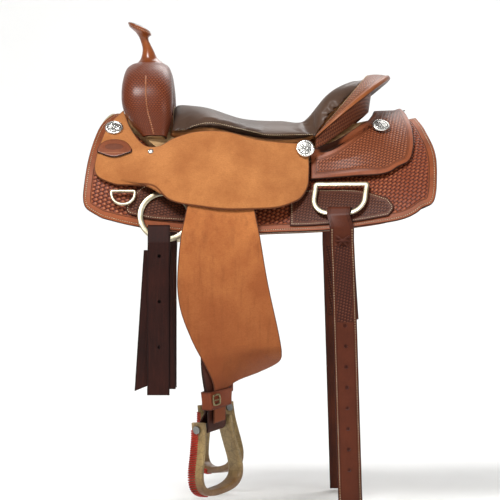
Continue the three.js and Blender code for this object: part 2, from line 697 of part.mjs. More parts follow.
// A flat D or square frame: a plate with rounded corners and an opening like it.
function frame(width, height, band, thick, corner) {
  const outline = (shape, w, h, r) => {
    shape.moveTo(-w / 2, 0);
    shape.lineTo(-w / 2, -h + r);
    shape.quadraticCurveTo(-w / 2, -h, -w / 2 + r, -h);
    shape.lineTo(w / 2 - r, -h);
    shape.quadraticCurveTo(w / 2, -h, w / 2, -h + r);
    shape.lineTo(w / 2, 0);
    shape.lineTo(-w / 2, 0);
    return shape;
  };
  const shape = outline(new THREE.Shape(), width, height, corner);
  const opening = outline(new THREE.Path(), width - 2 * band, height - 2 * band, corner * 0.6);
  const lowered = opening.getPoints(4).map((p) => new THREE.Vector2(p.x, p.y - band));
  shape.holes.push(new THREE.Path(lowered.reverse()));
  const plate = new THREE.ExtrudeGeometry(shape, { depth: thick, bevelEnabled: false, curveSegments: 4 });
  return plate.translate(0, 0, -thick / 2);
}

// How a dee hangs: its bar's middle, its directions and the length from its bar to its foot.
function deeRest(dee, side) {
  const middle = resting(dee.x, (dee.top + dee.bottom) / 2, dee.lift, side);
  const length = (dee.top - dee.bottom) / -middle.down.z;
  return { ...middle, length, bar: middle.centre.clone().addScaledVector(middle.down, -length / 2) };
}

function setFrame(mesh, here, along, down, out) {
  const turn = new THREE.Matrix4().makeBasis(along, down.clone().negate(), out);
  if (turn.determinant() < 0) {
    turn.makeBasis(along.clone().negate(), down.clone().negate(), out);
  }
  mesh.position.copy(here);
  mesh.quaternion.setFromRotationMatrix(turn);
}

function addDees() {
  for (const [word, side] of SIDES) {
    const rear = deeRest(DEE, side);
    const large = frame(DEE.width, rear.length, DEE.band, DEE.thick, DEE.corner);
    const dee = addPiece(`rear_dee_${word}`, large, nickelLook);
    setFrame(dee, rear.bar, rear.along, rear.down, rear.out);
    const front = deeRest(BREAST_DEE, side);
    const { width, wire, corner } = BREAST_DEE;
    const small = addPiece(`breast_dee_${word}`, frame(width, front.length, wire, wire, corner), nickelLook);
    setFrame(small, front.bar, front.along, front.down, front.out);
  }
}

function addRearBillets() {
  for (const [word, side] of SIDES) {
    const rest = deeRest(DEE, side);
    const bend = overBar({ ...rest, centre: rest.bar }, 4, rest.length - DEE.band, rest.length, 2.2);
    const at = (px, o, z) => world([px, o, z], side);
    const over = (h) => world(onBack(...atZ(163, -162, h).toArray()), side);
    const behind = [at(172, BILLET.inner, -345), at(165, BILLET.inner, -235), at(163, 247, -190)];
    const before = [at(163, 252, -190), at(165, BILLET.outer, -235), at(180, BILLET.outer, BILLET.foot)];
    const path = [...behind, over(32.4), ...bend, over(39), ...before];
    const body = strap(path, acrossBend(4, rest.along, 4), BILLET_WIDTH, STRAP);
    const holes = Array.from({ length: BILLET.holes }, (_, i) => (
      punch(168.5 + i * 1.25, BILLET.first - i * BILLET.pitch, side)));
    addPiece(`rear_billet_${word}`, cut(body, holes), LEATHERS.billet);
  }
}

// --- Fenders, stirrup leathers and stirrups --------------------------------------------------------------

// How far out a leather lies that hangs over the skirt and then falls straight down.
function drape(x, z, h) {
  const low = Math.max(z, FENDER.breakZ);
  const p = atZ(x, low, h);
  const [, o] = onBack(p.x, p.y, p.z);
  const fall = 1 - Math.exp(Math.min(0, z - FENDER.breakZ) / FENDER.settle);
  return o + FENDER.settle * fall / Math.tan(p.y);
}

function turnAt(z) {
  const part = clamp((TURN.from - z) / (TURN.from - TURN.to), 0, 1);
  const eased = part * part * (3 - 2 * part);
  return { eased, turn: rad(TURN.angle) * eased, rise: Math.tan(rad(TURN.tilt)) * eased };
}

// A point on the hanging leathers: across from their middle, off their inner face, at a height.
function hang(across, off, z, side) {
  const { eased, turn, rise } = turnAt(z);
  const base = drape(LEATHER.x + across * (1 - eased), z, LEATHER.h) - TURN.inset * eased;
  const x = LEATHER.x + across * Math.cos(turn) + off * Math.sin(turn);
  const o = base - across * Math.sin(turn) + off * Math.cos(turn);
  return world([x, o, z + across * rise], side);
}

function spaced(from, to, steps) {
  return Array.from({ length: steps + 1 }, (_, i) => lerp(from, to, i / steps));
}

const fenderFront = spline([[98, -142], [140, -150], [180, -158], [247, -164], [290, -164], [335, -156],
  [386, -136], [432, -114], [475, -102], [500, -106], [549, -107]]);
const fenderBack = spline([[98, -16], [150, -6], [180, 0], [274, 16], [366, 36], [411, 43], [440, 38],
  [462, 8], [473, -34], [484, -60], [500, -67], [549, -69]]);

const TURN_ROWS = spaced(-402, -510, 9);

function addLeathers() {
  const rows = [...spaced(FENDER.top, -390, 10), ...TURN_ROWS, -524, -549];
  const radius = BOLT.sleeve + 0.7 + LEATHER.thick / 2;
  const bolt = -BOLT.sleeve - 0.7;
  const turnDown = spaced(0, 180, 6).map((angle) => [
    bolt + radius * Math.cos(rad(angle)), BOLT.z - radius * Math.sin(rad(angle))]);
  const mid = LEATHER.thick / 2;
  const back = -mid - LEATHER.gap;
  const fall = [...spaced(LEATHER.top, -390, 12), ...TURN_ROWS, -524].map((z) => [mid, z]);
  const climb = [-523, ...TURN_ROWS.toReversed()].map((z) => [back, z]);
  const path = [...fall, ...turnDown, [-17, -545], [-9, -532], ...climb];
  for (const [word, side] of SIDES) {
    const sheet = (off) => rows.map((z) => spaced(0, 1, 5).map((u) => (
      hang(lerp(fenderFront(-z), fenderBack(-z), u) - LEATHER.x, off, z, side))));
    const fender = shell(sheet(FENDER.lift), sheet(FENDER.lift + FENDER.thick));
    addPiece(`fender_${word}`, fender, LEATHERS.fender);
    addPiece(`stirrup_leather_${word}`, leatherLoop(path, side), LEATHERS.chestnut);
    addHobble(word, side);
  }
}

function leatherLoop(path, side) {
  return loft(path.map(([off, z], i) => {
    const [before, after] = [path[Math.max(i - 1, 0)], path[Math.min(i + 1, path.length - 1)]];
    const run = new THREE.Vector2(after[0] - before[0], after[1] - before[1]).normalize();
    const half = LEATHER.thick / 2;
    const corner = (a, b) => hang(a * LEATHER.width / 2, off - b * half * run.y, z + b * half * run.x, side);
    return [corner(-1, -1), corner(1, -1), corner(1, 1), corner(-1, 1)];
  }));
}

function addHobble(word, side) {
  const loop = (half, low, high, top, bottom) => loft(spaced(top, bottom, 3).map((z) => (
    [[-half, low], [half, low], [half, high], [-half, high]].map(([a, b]) => hang(a, b, z, side)))));
  const { half, thick, top, bottom } = HOBBLE;
  const [low, high] = [-7, FENDER.lift + FENDER.thick + 1.2];
  const band = cut(loop(half + thick, low - thick, high + thick, top, bottom), [
    loop(half, low, high, top + 12, bottom - 12)]);
  addPiece(`hobble_strap_${word}`, band, LEATHERS.hobble);
  const place = hang(-20, high + thick + 4, top - 4, side);
  const { along, out, down } = stirrupFrame(side);
  setFrame(addPiece(`hobble_buckle_${word}`, frame(24, 26, 4, 3, 3), brassLook), place, along, down, out);
}

// The bolt's middle, its direction, the way the stirrup's face looks and the way it hangs.
function stirrupFrame(side) {
  const centre = hang(0, -BOLT.sleeve - 0.7, BOLT.z, side);
  const [turn, tilt] = [rad(TURN.angle), rad(TURN.tilt)];
  const along = new THREE.Vector3(
    Math.cos(turn) * Math.cos(tilt), -side * Math.sin(turn) * Math.cos(tilt), Math.sin(tilt));
  const out = new THREE.Vector3(Math.sin(turn), side * Math.cos(turn), 0);
  const down = along.clone().cross(out).normalize();
  return { centre, along, out, down: down.z > 0 ? down.negate() : down };
}

// Half of the stirrup's middle line, out and down from the bolt, with its thickness there.
const BRANCH = [[44, -13, 9], [44, 0, 10], [46, 18, 10], [54, 48, 10], [63, 78, 11], [66, 98, 12],
  [61, 115, 13], [46, 126, 14], [24, 131, 14], [0, 132, 14]];

const STIRRUP_SECTION = [[-1, -0.5], [-0.75, -1], [0.75, -1], [1, -0.5], [1, 0.5], [0.75, 1], [-0.75, 1],
  [-1, 0.5]];

function addStirrups() {
  const line = [...BRANCH, ...BRANCH.slice(0, -1).reverse().map(([a, d, t]) => [-a, d, t])];
  for (const [word, side] of SIDES) {
    const { centre, along, out, down } = stirrupFrame(side);
    const place = (a, d, n) => centre.clone().addScaledVector(along, a).addScaledVector(down, d)
      .addScaledVector(out, n);
    const rings = line.map(([a, d, thick], i) => {
      const [before, after] = [line[Math.max(i - 1, 0)], line[Math.min(i + 1, line.length - 1)]];
      const run = new THREE.Vector2(after[0] - before[0], after[1] - before[1]).normalize();
      const half = STIRRUP_DEPTH / 2;
      const corner = (n, t) => place(a - run.y * t * thick / 2, d + run.x * t * thick / 2, n * half);
      return STIRRUP_SECTION.map(([n, t]) => corner(n, t));
    });
    const hole = new THREE.CylinderGeometry(BOLT.radius + GAP, BOLT.radius + GAP, 130, 12);
    hole.applyQuaternion(new THREE.Quaternion().setFromUnitVectors(new THREE.Vector3(0, 1, 0), along));
    hole.translate(...centre.toArray());
    addPiece(`stirrup_${word}`, cut(loft(rings), [hole]), rawhideLook);
    const { radius, sleeve } = BOLT;
    const half = [[sleeve, 34], [radius, 34], [radius, 50.5], [8, 50.5], [8, 54], [0, 54]];
    const profile = [...half.toReversed().map(([r, a]) => [r, -a]), ...half];
    aim(addPiece(`stirrup_bolt_${word}`, turned(profile, 12), steelLook), centre, along);
  }
}

addSkirts();
addPlates();
addBars();
addFork();
addHorn();
addSeat();
addCantle();
addJockeys();
addConchos();
addKeepers();
addRings();
addFrontStraps();
addDees();
addRearBillets();
addLeathers();
addStirrups();

export default saddle;
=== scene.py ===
import math
import bmesh
import bpy
import numpy as np
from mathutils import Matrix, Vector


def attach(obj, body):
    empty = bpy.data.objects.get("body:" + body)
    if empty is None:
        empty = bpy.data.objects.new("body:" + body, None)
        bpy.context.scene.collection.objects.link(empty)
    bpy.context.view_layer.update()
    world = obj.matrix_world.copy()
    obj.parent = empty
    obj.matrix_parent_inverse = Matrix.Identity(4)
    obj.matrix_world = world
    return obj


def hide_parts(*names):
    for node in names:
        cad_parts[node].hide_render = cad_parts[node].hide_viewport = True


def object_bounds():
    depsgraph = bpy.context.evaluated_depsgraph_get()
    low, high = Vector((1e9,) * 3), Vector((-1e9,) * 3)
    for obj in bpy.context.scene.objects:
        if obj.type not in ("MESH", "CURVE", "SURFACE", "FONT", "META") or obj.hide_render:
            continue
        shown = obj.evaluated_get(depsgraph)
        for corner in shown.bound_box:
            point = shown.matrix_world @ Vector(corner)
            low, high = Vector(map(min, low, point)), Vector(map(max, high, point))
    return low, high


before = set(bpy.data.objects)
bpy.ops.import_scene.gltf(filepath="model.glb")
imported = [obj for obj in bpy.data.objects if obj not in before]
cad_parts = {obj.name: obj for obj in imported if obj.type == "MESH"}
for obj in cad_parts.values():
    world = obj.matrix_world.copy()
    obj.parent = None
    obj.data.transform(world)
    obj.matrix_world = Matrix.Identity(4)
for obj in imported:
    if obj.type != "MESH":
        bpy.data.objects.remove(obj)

cad_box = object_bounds()
SIDES = (("near", -1), ("off", 1))

# Fleece. The woolskin lining under each skirt, a cream pile about 13 mm deep that shows as a fuzzy line
# below the leather. Each half is a thick sheet bent over the horse's back, with its faces raised into
# small tufts.
BACK_RADIUS = 390
FLEECE_DEEP = 13.5


def ridge(x):
    """Height of the back along its ridge, rise * (1 - exp(-(x / reach)^2)), one rise for each end."""
    rise, reach = np.where(x < 0, 104, 80), np.where(x < 0, 227, 278)
    return rise * (1 - np.exp(-(x / reach) ** 2))


def slope(x):
    """Slope beside the spine: 24 degrees at mid-length, easing by 0.02 degrees a millimetre to the tail."""
    return np.radians(24 - 0.02 * x)


def on_back(p):
    """Turns points (x, angle round the back, height over it) into (x, distance out, z), in millimetres."""
    x, phi, h = p[..., 0], p[..., 1], p[..., 2]
    out = BACK_RADIUS * (np.sin(phi) - np.sin(slope(x))) + h * np.sin(phi)
    z = ridge(x) - BACK_RADIUS * (np.cos(slope(x)) - np.cos(phi)) + h * np.cos(phi)
    return np.stack([x, out, z], -1)


def at_z(x, z, h):
    """The point of the back at length x and height z, lifted by h."""
    return [x, float(np.arccos((z - ridge(x) + BACK_RADIUS * np.cos(slope(x))) / (BACK_RADIUS + h))), h]


def at_out(x, out, h):
    """The point of the back at length x and a distance out from the centre plane, lifted by h."""
    return [x, float(np.arcsin((out + BACK_RADIUS * np.sin(slope(x))) / (BACK_RADIUS + h))), h]


def unit(way):
    """Directions of length one."""
    return way / np.linalg.norm(way, axis=-1, keepdims=True)


def lengths(line):
    """How far along a line each of its points is."""
    return np.append(0, np.cumsum(np.linalg.norm(np.diff(line, axis=0), axis=1)))


def spread_along(stops, run, values):
    """Values known at the lengths run, read at the lengths stops."""
    return np.stack([np.interp(stops, run, values[:, k]) for k in range(values.shape[1])], -1)


def smooth_line(points, t):
    """A centripetal Catmull-Rom curve through the points, for t from 0 at the first to 1 at the last."""
    points = np.asarray(points, float)
    padded = np.vstack([2 * points[0] - points[1], points, 2 * points[-1] - points[-2]])
    span = np.clip(t, 0, 1) * (len(points) - 1)
    k = np.minimum(span.astype(int), len(points) - 2)
    w = (span - k)[..., None]
    a, b, c, d = (padded[k + n] for n in range(4))
    ab, bc, cd = (np.sqrt(np.linalg.norm(q - p, axis=-1, keepdims=True)) for p,
                  q in ((a, b), (b, c), (c, d)))
    start = ((b - a) / ab - (c - a) / (ab + bc) + (c - b) / bc) * bc
    end = ((c - b) / bc - (d - b) / (bc + cd) + (d - c) / cd) * bc
    return b + start * w + (3 * (c - b) - 2 * start - end) * w ** 2 + (2 * (b - c) + start + end) * w ** 3


def patch(top, bottom, left, right):
    """A sheet between four edges: both ruled sheets between facing edges, less the one through the
    corners."""
    corner = [np.array(p) for p in (top[0], top[-1], bottom[0], bottom[-1])]

    def at(u, v):
        edges = [smooth_line(top, u), smooth_line(bottom, u), smooth_line(left, v), smooth_line(right, v)]
        u, v = u[..., None], v[..., None]
        ruled = edges[0] * (1 - v) + edges[1] * v + edges[2] * (1 - u) + edges[3] * u
        return (ruled - (1 - u) * ((1 - v) * corner[0] + v * corner[2])
                - u * ((1 - v) * corner[1] + v * corner[3]))

    return at


def rounded(at, corners):
    """Rounds corners of a patch. Each has its ends of u and v and its reach along both. With a and b going
    to 1 at the corner, a becomes a * sqrt(1 - b^2 / 2) and b becomes b * sqrt(1 - a^2 / 2)."""

    def shaped(u, v):
        for end_u, end_v, reach_u, reach_v in corners:
            a = np.clip(1 - abs(u - end_u) / reach_u, 0, 1)
            b = np.clip(1 - abs(v - end_v) / reach_v, 0, 1)
            u = u + a * (1 - np.sqrt(1 - b * b / 2)) * reach_u * (1 - 2 * end_u)
            v = v + b * (1 - np.sqrt(1 - a * a / 2)) * reach_v * (1 - 2 * end_v)
        return at(u, v)

    return shaped


def flat(p):
    """Points on the back laid out flat: the length along it and the arc round it."""
    return np.stack([p[..., 0], p[..., 1] * BACK_RADIUS], -1)


def edge_steps(length, pitch, fine):
    """Values from 0 to 1 that are even by pitch, with four closer ones inside each end for a round edge."""
    near = np.array([0, 0.12, 0.45, 1]) * fine / length
    middle = np.linspace(near[-1], 1 - near[-1], max(3, int(length / pitch)))
    return np.concatenate([near[:-1], middle, 1 - near[-2::-1]])


def outline(at, pitch=2.0):
    """The panel's edge as a closed line of flat points."""
    t = np.linspace(0, 1, 400)
    sides = [at(t, t * 0), at(t * 0 + 1, t), at(t[::-1], t * 0 + 1), at(t * 0, t[::-1])]
    line = flat(np.concatenate([side[:-1] for side in sides]))
    run = lengths(np.vstack([line, line[:1]]))
    stops = np.linspace(0, run[-1], int(run[-1] / pitch), endpoint=False)
    closed = np.vstack([line, line[:1]])
    return spread_along(stops, run, closed)


def rim_distance(spots, line):
    """How far each flat point is from a closed line, by the two segments beside its nearest corner."""
    nearest = np.concatenate([
        np.argmin((part ** 2).sum(1)[:, None] + (line ** 2).sum(1) - 2 * part @ line.T, 1)
        for part in np.array_split(spots, max(1, len(spots) // 4000))])
    best = np.full(len(spots), np.inf)
    for step in (-1, 1):
        a, b = line[nearest], line[(nearest + step) % len(line)]
        run = b - a
        part = np.clip(((spots - a) * run).sum(1) / np.maximum((run ** 2).sum(1), 1e-9), 0, 1)
        best = np.minimum(best, np.linalg.norm(spots - a - part[:, None] * run, axis=1))
    return best


def grid_quads(rows, cols, start=0, flip=False, round_rows=False, round_cols=False):
    """Four-sided faces of a grid of points, joined round where a direction closes on itself."""
    i = np.arange(rows if round_rows else rows - 1)[:, None]
    j = np.arange(cols if round_cols else cols - 1)[None, :]
    k, m = (i + 1) % rows, (j + 1) % cols
    quads = np.stack(np.broadcast_arrays(i * cols + j, k * cols + j, k * cols + m, i * cols + m), -1)
    quads = quads.reshape(-1, 4) + start
    return quads[:, ::-1] if flip else quads


WELD = 1e-6


def face_out(mesh, weld=0.0):
    """Turns a closed mesh's faces outwards, with points nearer together than weld merged first."""
    solid = bmesh.new()
    solid.from_mesh(mesh)
    if weld:
        bmesh.ops.remove_doubles(solid, verts=solid.verts, dist=weld)
    bmesh.ops.recalc_face_normals(solid, faces=solid.faces)
    solid.to_mesh(mesh)
    solid.free()


def shown(name, mesh, body, finish):
    """A smooth piece of this mesh, in its finish and riding on its body."""
    mesh.polygons.foreach_set("use_smooth", [True] * len(mesh.polygons))
    mesh.materials.append(finish)
    piece = bpy.data.objects.new(name, mesh)
    bpy.context.collection.objects.link(piece)
    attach(piece, body)
    return piece


def new_piece(name, points, faces, body, finish, marks=None, uv=None, weld=True):
    """A piece from points in millimetres, merged where they meet, turned outwards and riding on its body."""
    mesh = bpy.data.meshes.new(name)
    mesh.from_pydata((np.asarray(points, float) / 1000).tolist(), [], [list(face) for face in faces])
    for key, values in (marks or {}).items():
        mark = mesh.attributes.new(key, "FLOAT", "POINT")
        mark.data.foreach_set("value", np.asarray(values, np.float32).ravel())
    if uv is not None:
        corner = np.empty(len(mesh.loops), int)
        mesh.loops.foreach_get("vertex_index", corner)
        mesh.uv_layers.new(name="lay").data.foreach_set("uv", np.asarray(uv, np.float32)[corner].ravel())
    if weld:
        face_out(mesh, WELD)
    mesh.update()
    return shown(name, mesh, body, finish)


def lay_panel(at, thick, pitch):
    """A panel's grid of points, its distance in from the edge, and how far its rounded edge has fallen."""
    middle = np.linspace(0, 1, 60)
    long = np.linalg.norm(np.diff(flat(at(middle, middle * 0 + 0.5)), axis=0), axis=1).sum()
    deep = np.linalg.norm(np.diff(flat(at(middle * 0 + 0.5, middle)), axis=0), axis=1).sum()
    u, v = np.meshgrid(edge_steps(long, pitch, thick / 2), edge_steps(deep, pitch, thick / 2), indexing="ij")
    p = at(u, v)
    rim = rim_distance(flat(p).reshape(-1, 2), outline(at)).reshape(u.shape)
    rim[[0, -1], :] = 0
    rim[:, [0, -1]] = 0
    half = thick / 2
    fall = half * (1 - np.sqrt(np.clip(1 - (1 - np.clip(rim / half, 0, 1)) ** 2, 0, 1)))
    return p, rim, fall


def panel(name, at, thick, finish, body="saddle", pitch=2.6, relief=None):
    """A pair of panels: an inner face, and an outer one at the leather's thickness and its relief above it.
    The faces close in on each other along a round edge. The flat layout in metres is the pair's UV map."""
    p, rim, fall = lay_panel(at, thick, pitch)
    layout = flat(p)
    raised = thick - fall + (0 if relief is None else relief(layout, rim) * np.clip(rim / thick, 0, 1))
    lifts = [fall, raised]
    shape = [on_back(p + np.stack([lift * 0, lift * 0, lift], -1)) for lift in lifts]
    made = []
    for word, side in SIDES:
        points = np.concatenate([(face * [1, side, 1]).reshape(-1, 3) for face in shape])
        rows, cols = rim.shape
        faces = np.vstack([grid_quads(rows, cols), grid_quads(rows, cols, rows * cols, True)])
        rides = body if body == "saddle" else f"{body}_{word}"
        piece = new_piece(f"{name}_{word}_leather", points, faces, rides, finish,
                          {"rim": np.tile(rim.ravel(), 2)},
                          np.tile(layout.reshape(-1, 2), (2, 1)) / 1000)
        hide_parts(f"{name}_{word}")
        made.append(piece)
    return made


class Wire:
    """A value in a material's nodes. Sums written on it as plain Python each add a Math node."""

    def __init__(self, finish, socket):
        self.finish, self.socket = finish, socket

    def math(self, operation, *values):
        return self.finish.node("ShaderNodeMath", {"operation": operation}, *values)

    def __add__(self, other):
        return self.math("ADD", self, other)

    def __sub__(self, other):
        return self.math("SUBTRACT", self, other)

    def __rsub__(self, other):
        return self.math("SUBTRACT", other, self)

    def __mul__(self, other):
        return self.math("MULTIPLY", self, other)

    def __truediv__(self, other):
        return self.math("DIVIDE", self, other)

    def __pow__(self, other):
        return self.math("POWER", self, other)

    def __abs__(self):
        return self.math("ABSOLUTE", self)

    __radd__, __rmul__ = __add__, __mul__


def tint(red, green, blue):
    """A colour as the eye sees it, 0 to 255, in linear light."""
    seen = np.array([red, green, blue]) / 255
    return (*np.where(seen > 0.04045, ((seen + 0.055) / 1.055) ** 2.4, seen / 12.92).tolist(), 1.0)


class Finish:
    """A material with one Principled shader, whose constant sockets are given by name."""

    def __init__(self, name, **constants):
        self.material = bpy.data.materials.new(name)
        self.material.use_nodes = True
        self.tree = self.material.node_tree
        self.shader = self.tree.nodes["Principled BSDF"]
        for key, value in constants.items():
            self.shader.inputs[key.replace("_", " ")].default_value = value

    def put(self, socket, value):
        if isinstance(value, Wire):
            self.tree.links.new(value.socket, socket)
        else:
            socket.default_value = value

    def node(self, kind, settings, *values, out=0, **named):
        """Adds a node: its settings first, then its sockets by order and by name."""
        made = self.tree.nodes.new(kind)
        for key, value in settings.items():
            setattr(made, key, value)
        for key, value in [*enumerate(values),
                           *((key.replace("_", " "), value) for key, value in named.items())]:
            self.put(made.inputs[key], value)
        return Wire(self, made.outputs[out])

    def mix(self, factor, first, second):
        """A colour part way from the first to the second."""
        made = self.tree.nodes.new("ShaderNodeMix")
        made.data_type = "RGBA"
        for key, value in ((0, factor), (6, first), (7, second)):
            self.put(made.inputs[key], value)
        return Wire(self, made.outputs[2])

    def place(self):
        return self.node("ShaderNodeTexCoord", {}, out="Object")

    def layout(self):
        """The piece's own flat layout, in metres."""
        return self.node("ShaderNodeUVMap", {"uv_map": "lay"})

    def mark(self, name):
        return self.node("ShaderNodeAttribute", {"attribute_name": name}, out="Fac")

    def noise(self, scale, detail=3.0, rough=0.55, where=None):
        where = self.place() if where is None else where
        return self.node("ShaderNodeTexNoise", {}, Vector=where, Scale=scale, Detail=detail, Roughness=rough)

    def grains(self, scale, kind="DISTANCE_TO_EDGE", where=None):
        where = self.place() if where is None else where
        return self.node("ShaderNodeTexVoronoi", {"feature": kind}, Vector=where, Scale=scale)

    def span(self, wire, low, high, first=0.0, last=1.0):
        """Goes from first to last as the wire goes from low to high, and no further."""
        return self.node("ShaderNodeMapRange", {}, wire, low, high, first, last)

    def bump(self, height, strength, distance):
        self.put(self.shader.inputs["Normal"],
                 self.node("ShaderNodeBump", {}, Strength=strength, Distance=distance, Height=height))

    def done(self, colour, rough):
        self.put(self.shader.inputs["Base Color"], colour)
        self.put(self.shader.inputs["Roughness"], rough)
        return self.material


def wool():
    pile = Finish("woolskin", Sheen_Weight=0.5, Sheen_Roughness=0.6, Specular_IOR_Level=0.15)
    curl = pile.noise(260.0, 5.0, 0.7)
    clump = pile.noise(45.0, 3.0, 0.6)
    pile.bump(curl + clump, 0.9, 0.004)
    shade = pile.mix(pile.span(clump, 0.35, 0.7), tint(178, 158, 108), tint(238, 226, 188))
    return pile.done(pile.mix(pile.span(curl, 0.3, 0.7), tint(150, 128, 84), shade), 0.95)


def tufts(layout, rim):
    """Pile height: crossed waves of uneven length, so that the wool stands in tufts of 5 to 9 mm."""
    x, y = layout[..., 0], layout[..., 1]
    drift = 3 * np.sin(x / 19) + 2.4 * np.sin(y / 13 + x / 31)
    waves = np.sin((x + drift) / 1.05) * np.sin((y - drift) / 1.15) + 0.7 * np.sin((x - y + drift) / 1.7)
    return 1.1 * waves * (1 + 0.35 * np.sin(x / 7) * np.sin(y / 9))


SKIRT_CORNERS = ((0, 1, 0.07, 0.24), (1, 1, 0.09, 0.3), (0, 0, 0.05, 0.12))


def skirt_edges(h, inset):
    """The skirt's outline at a height over the back, drawn in by inset, as a patch."""
    front = [at_out(-284 + inset, 46, h), at_z(-306 + inset, 68, h), at_z(-332 + inset, 35, h),
             at_z(-352 + inset, -47, h), at_z(-357 + inset, -105, h), at_z(-344 + inset, -139 + inset, h)]
    back = [at_out(324 - inset, 42, h), at_z(341 - inset, 30, h), at_z(356 - inset, -33, h),
            at_z(352 - inset, -92, h), at_z(330 - inset, -123 + inset, h)]
    top = [front[0], at_out(-150, 44, h), at_out(0, 40, h), at_out(160, 40, h), back[0]]
    bottom = [front[-1], at_z(-248, -161 + inset, h), at_z(0, -175 + inset, h), at_z(188, -163 + inset, h),
              at_z(290, -145 + inset, h), back[-1]]
    return rounded(patch(top, bottom, front, back), SKIRT_CORNERS)


panel("fleece", skirt_edges(1.5, 0.5), FLEECE_DEEP, wool(), pitch=2.4, relief=tufts)


# Skirts. The broad side leathers, 5 mm thick, basket-stamped inside a smooth chestnut border that carries a
# row of cream stitching. They lie on the fleece and are sewn to it. The rigging leathers are sewn on them.
SKIRT_LIFT, SKIRT_THICK, PLATE_THICK = 18.3, 5, 3.2
SKIRT_BORDER, SKIRT_CELL, STAMP_TURN = 17, 11.5, 0.56
PLATE_LIFT = SKIRT_LIFT + SKIRT_THICK + 0.8
STRIP, DIVE = 0.58, 0.3


def basket_relief(cell, turn, depth, start):
    """Relief of a basket stamp. In oblong cells set at an angle, each row half a cell on from the last, a
    strip stands (1 - across^4) * sqrt(1 - along^2) high, sloped along itself so that it dives under the
    next one. It starts at a distance in from the edge."""

    def relief(layout, rim):
        x, y = layout[..., 0], layout[..., 1]
        i = (x * math.cos(turn) - y * math.sin(turn)) / cell
        j = (x * math.sin(turn) + y * math.cos(turn)) / (cell * STRIP)
        along = 2 * ((i + np.floor(j) % 2 / 2) % 1) - 1
        across = 2 * (j % 1) - 1
        hump = (1 - across ** 4) * np.sqrt(1 - along ** 2) * (1 - DIVE + DIVE * along)
        return depth * (hump - 1) * np.clip((rim - start) / 1.5, 0, 1)

    return relief


def basket(finish, cell, turn):
    """The same stamp as a value from 0 in its gaps to 1 on its strips, for a cell in metres."""
    turned = finish.node("ShaderNodeMapping", {}, finish.layout(), (0, 0, 0), (0, 0, turn), (1 / cell,) * 3)
    split = finish.node("ShaderNodeSeparateXYZ", {}, turned)
    i, j = split, Wire(finish, split.socket.node.outputs[1]) / STRIP
    odd = i.math("FLOORED_MODULO", j.math("FLOOR", j), 2.0)
    along = 2.0 * i.math("FRACT", i + odd * 0.5) - 1.0
    across = 2.0 * j.math("FRACT", j) - 1.0
    return (1.0 - (across * across) ** 2.0) * (1.0 - along * along) ** 0.5 * (along * DIVE + (1.0 - DIVE))


def leather(name, dark, light, rough=0.45, grain=700.0, deep=0.25, coat=0.04, **more):
    """Smooth full-grain leather: a fine cell grain, cloudy dye and a little wax."""
    hide = Finish(name, Coat_Weight=coat, Coat_Roughness=0.25, Specular_IOR_Level=0.14, **more)
    hide.cloud = hide.noise(9.0, 4.0, 0.6)
    hide.fine = hide.grains(grain)
    hide.speck = hide.noise(320.0, 3.0, 0.6)
    hide.height = hide.fine * deep + hide.speck * 0.4
    hide.colour = hide.mix(hide.span(hide.cloud * 0.7 + hide.speck * 0.3, 0.32, 0.68), dark, light)
    hide.rough = rough + 0.16 * hide.speck
    return hide


def burnish(hide, dark, width=1.8):
    """Darkens and smooths the cut edge, where the leather is dyed and rubbed."""
    edge = hide.span(hide.mark("rim"), width * 0.5, width, 1.0, 0.0)
    hide.colour = hide.mix(edge, hide.colour, dark)
    return edge


def score(hide, inset, width=0.9, deep=1.2, shade=0.5, dark=tint(40, 18, 10)):
    """A line cut or creased at a distance in from the edge, its colour darkened there as painted shade."""
    line = hide.span(abs(hide.mark("rim") - inset), width * 0.4, width, 1.0, 0.0)
    hide.height = hide.height - line * deep
    hide.colour = hide.mix(line * shade, hide.colour, dark)


def stamped(hide, pattern, dark, strip, light):
    """A stamped field's colour: dark in the gaps as painted shade, dyed on the strips, and a painted
    highlight on the highest parts."""
    # Painted shade: the dark colour in the gaps. Painted highlight: the light colour on the highest parts.
    tone = hide.mix(hide.span(pattern, 0.08, 0.5), dark, strip)
    return hide.mix(hide.span(pattern + 0.35 * hide.cloud, 0.86, 1.06), tone, light)


def stamp(hide, pattern, start, dark, strip, light):
    """Lays a stamped field inside the border: painted shade in the gaps, dyed strips, painted highlights on
    top.
    """
    field = hide.span(hide.mark("rim"), start, start + 0.8)
    hide.colour = hide.mix(field, hide.colour, stamped(hide, pattern, dark, strip, light))
    hide.height = hide.height + pattern * field * 3.0


def skirt_leather():
    hide = leather("skirt_leather", tint(104, 50, 26), tint(158, 84, 46), 0.4)
    # Painted shade in the stamp's gaps and scored lines, and a painted highlight on its tops.
    stamp(hide, basket(hide, SKIRT_CELL / 1000, STAMP_TURN), SKIRT_BORDER, tint(34, 12, 7),
          tint(128, 60, 34), tint(196, 128, 88))
    score(hide, SKIRT_BORDER - 1.5, 1.0, 2.0, 0.75)
    score(hide, 5.5, 1.2, 1.0, 0.45)
    burnish(hide, tint(48, 22, 14))
    hide.bump(hide.height, 0.55, 0.0009)
    return hide.done(hide.colour, hide.rough)


THREAD = {}


def thread():
    """Waxed cream thread, laid in a twist."""
    if "cream" not in THREAD:
        twine = Finish("cream_thread", Sheen_Weight=0.2, Specular_IOR_Level=0.3)
        fibre = twine.noise(1500.0, 2.0, 0.6)
        wear = twine.noise(60.0)
        twine.bump(fibre, 0.4, 0.0003)
        tone = twine.mix(twine.span(wear, 0.35, 0.65), tint(190, 160, 120), tint(232, 214, 178))
        THREAD["cream"] = twine.done(tone, 0.6 + 0.2 * fibre)
    return THREAD["cream"]


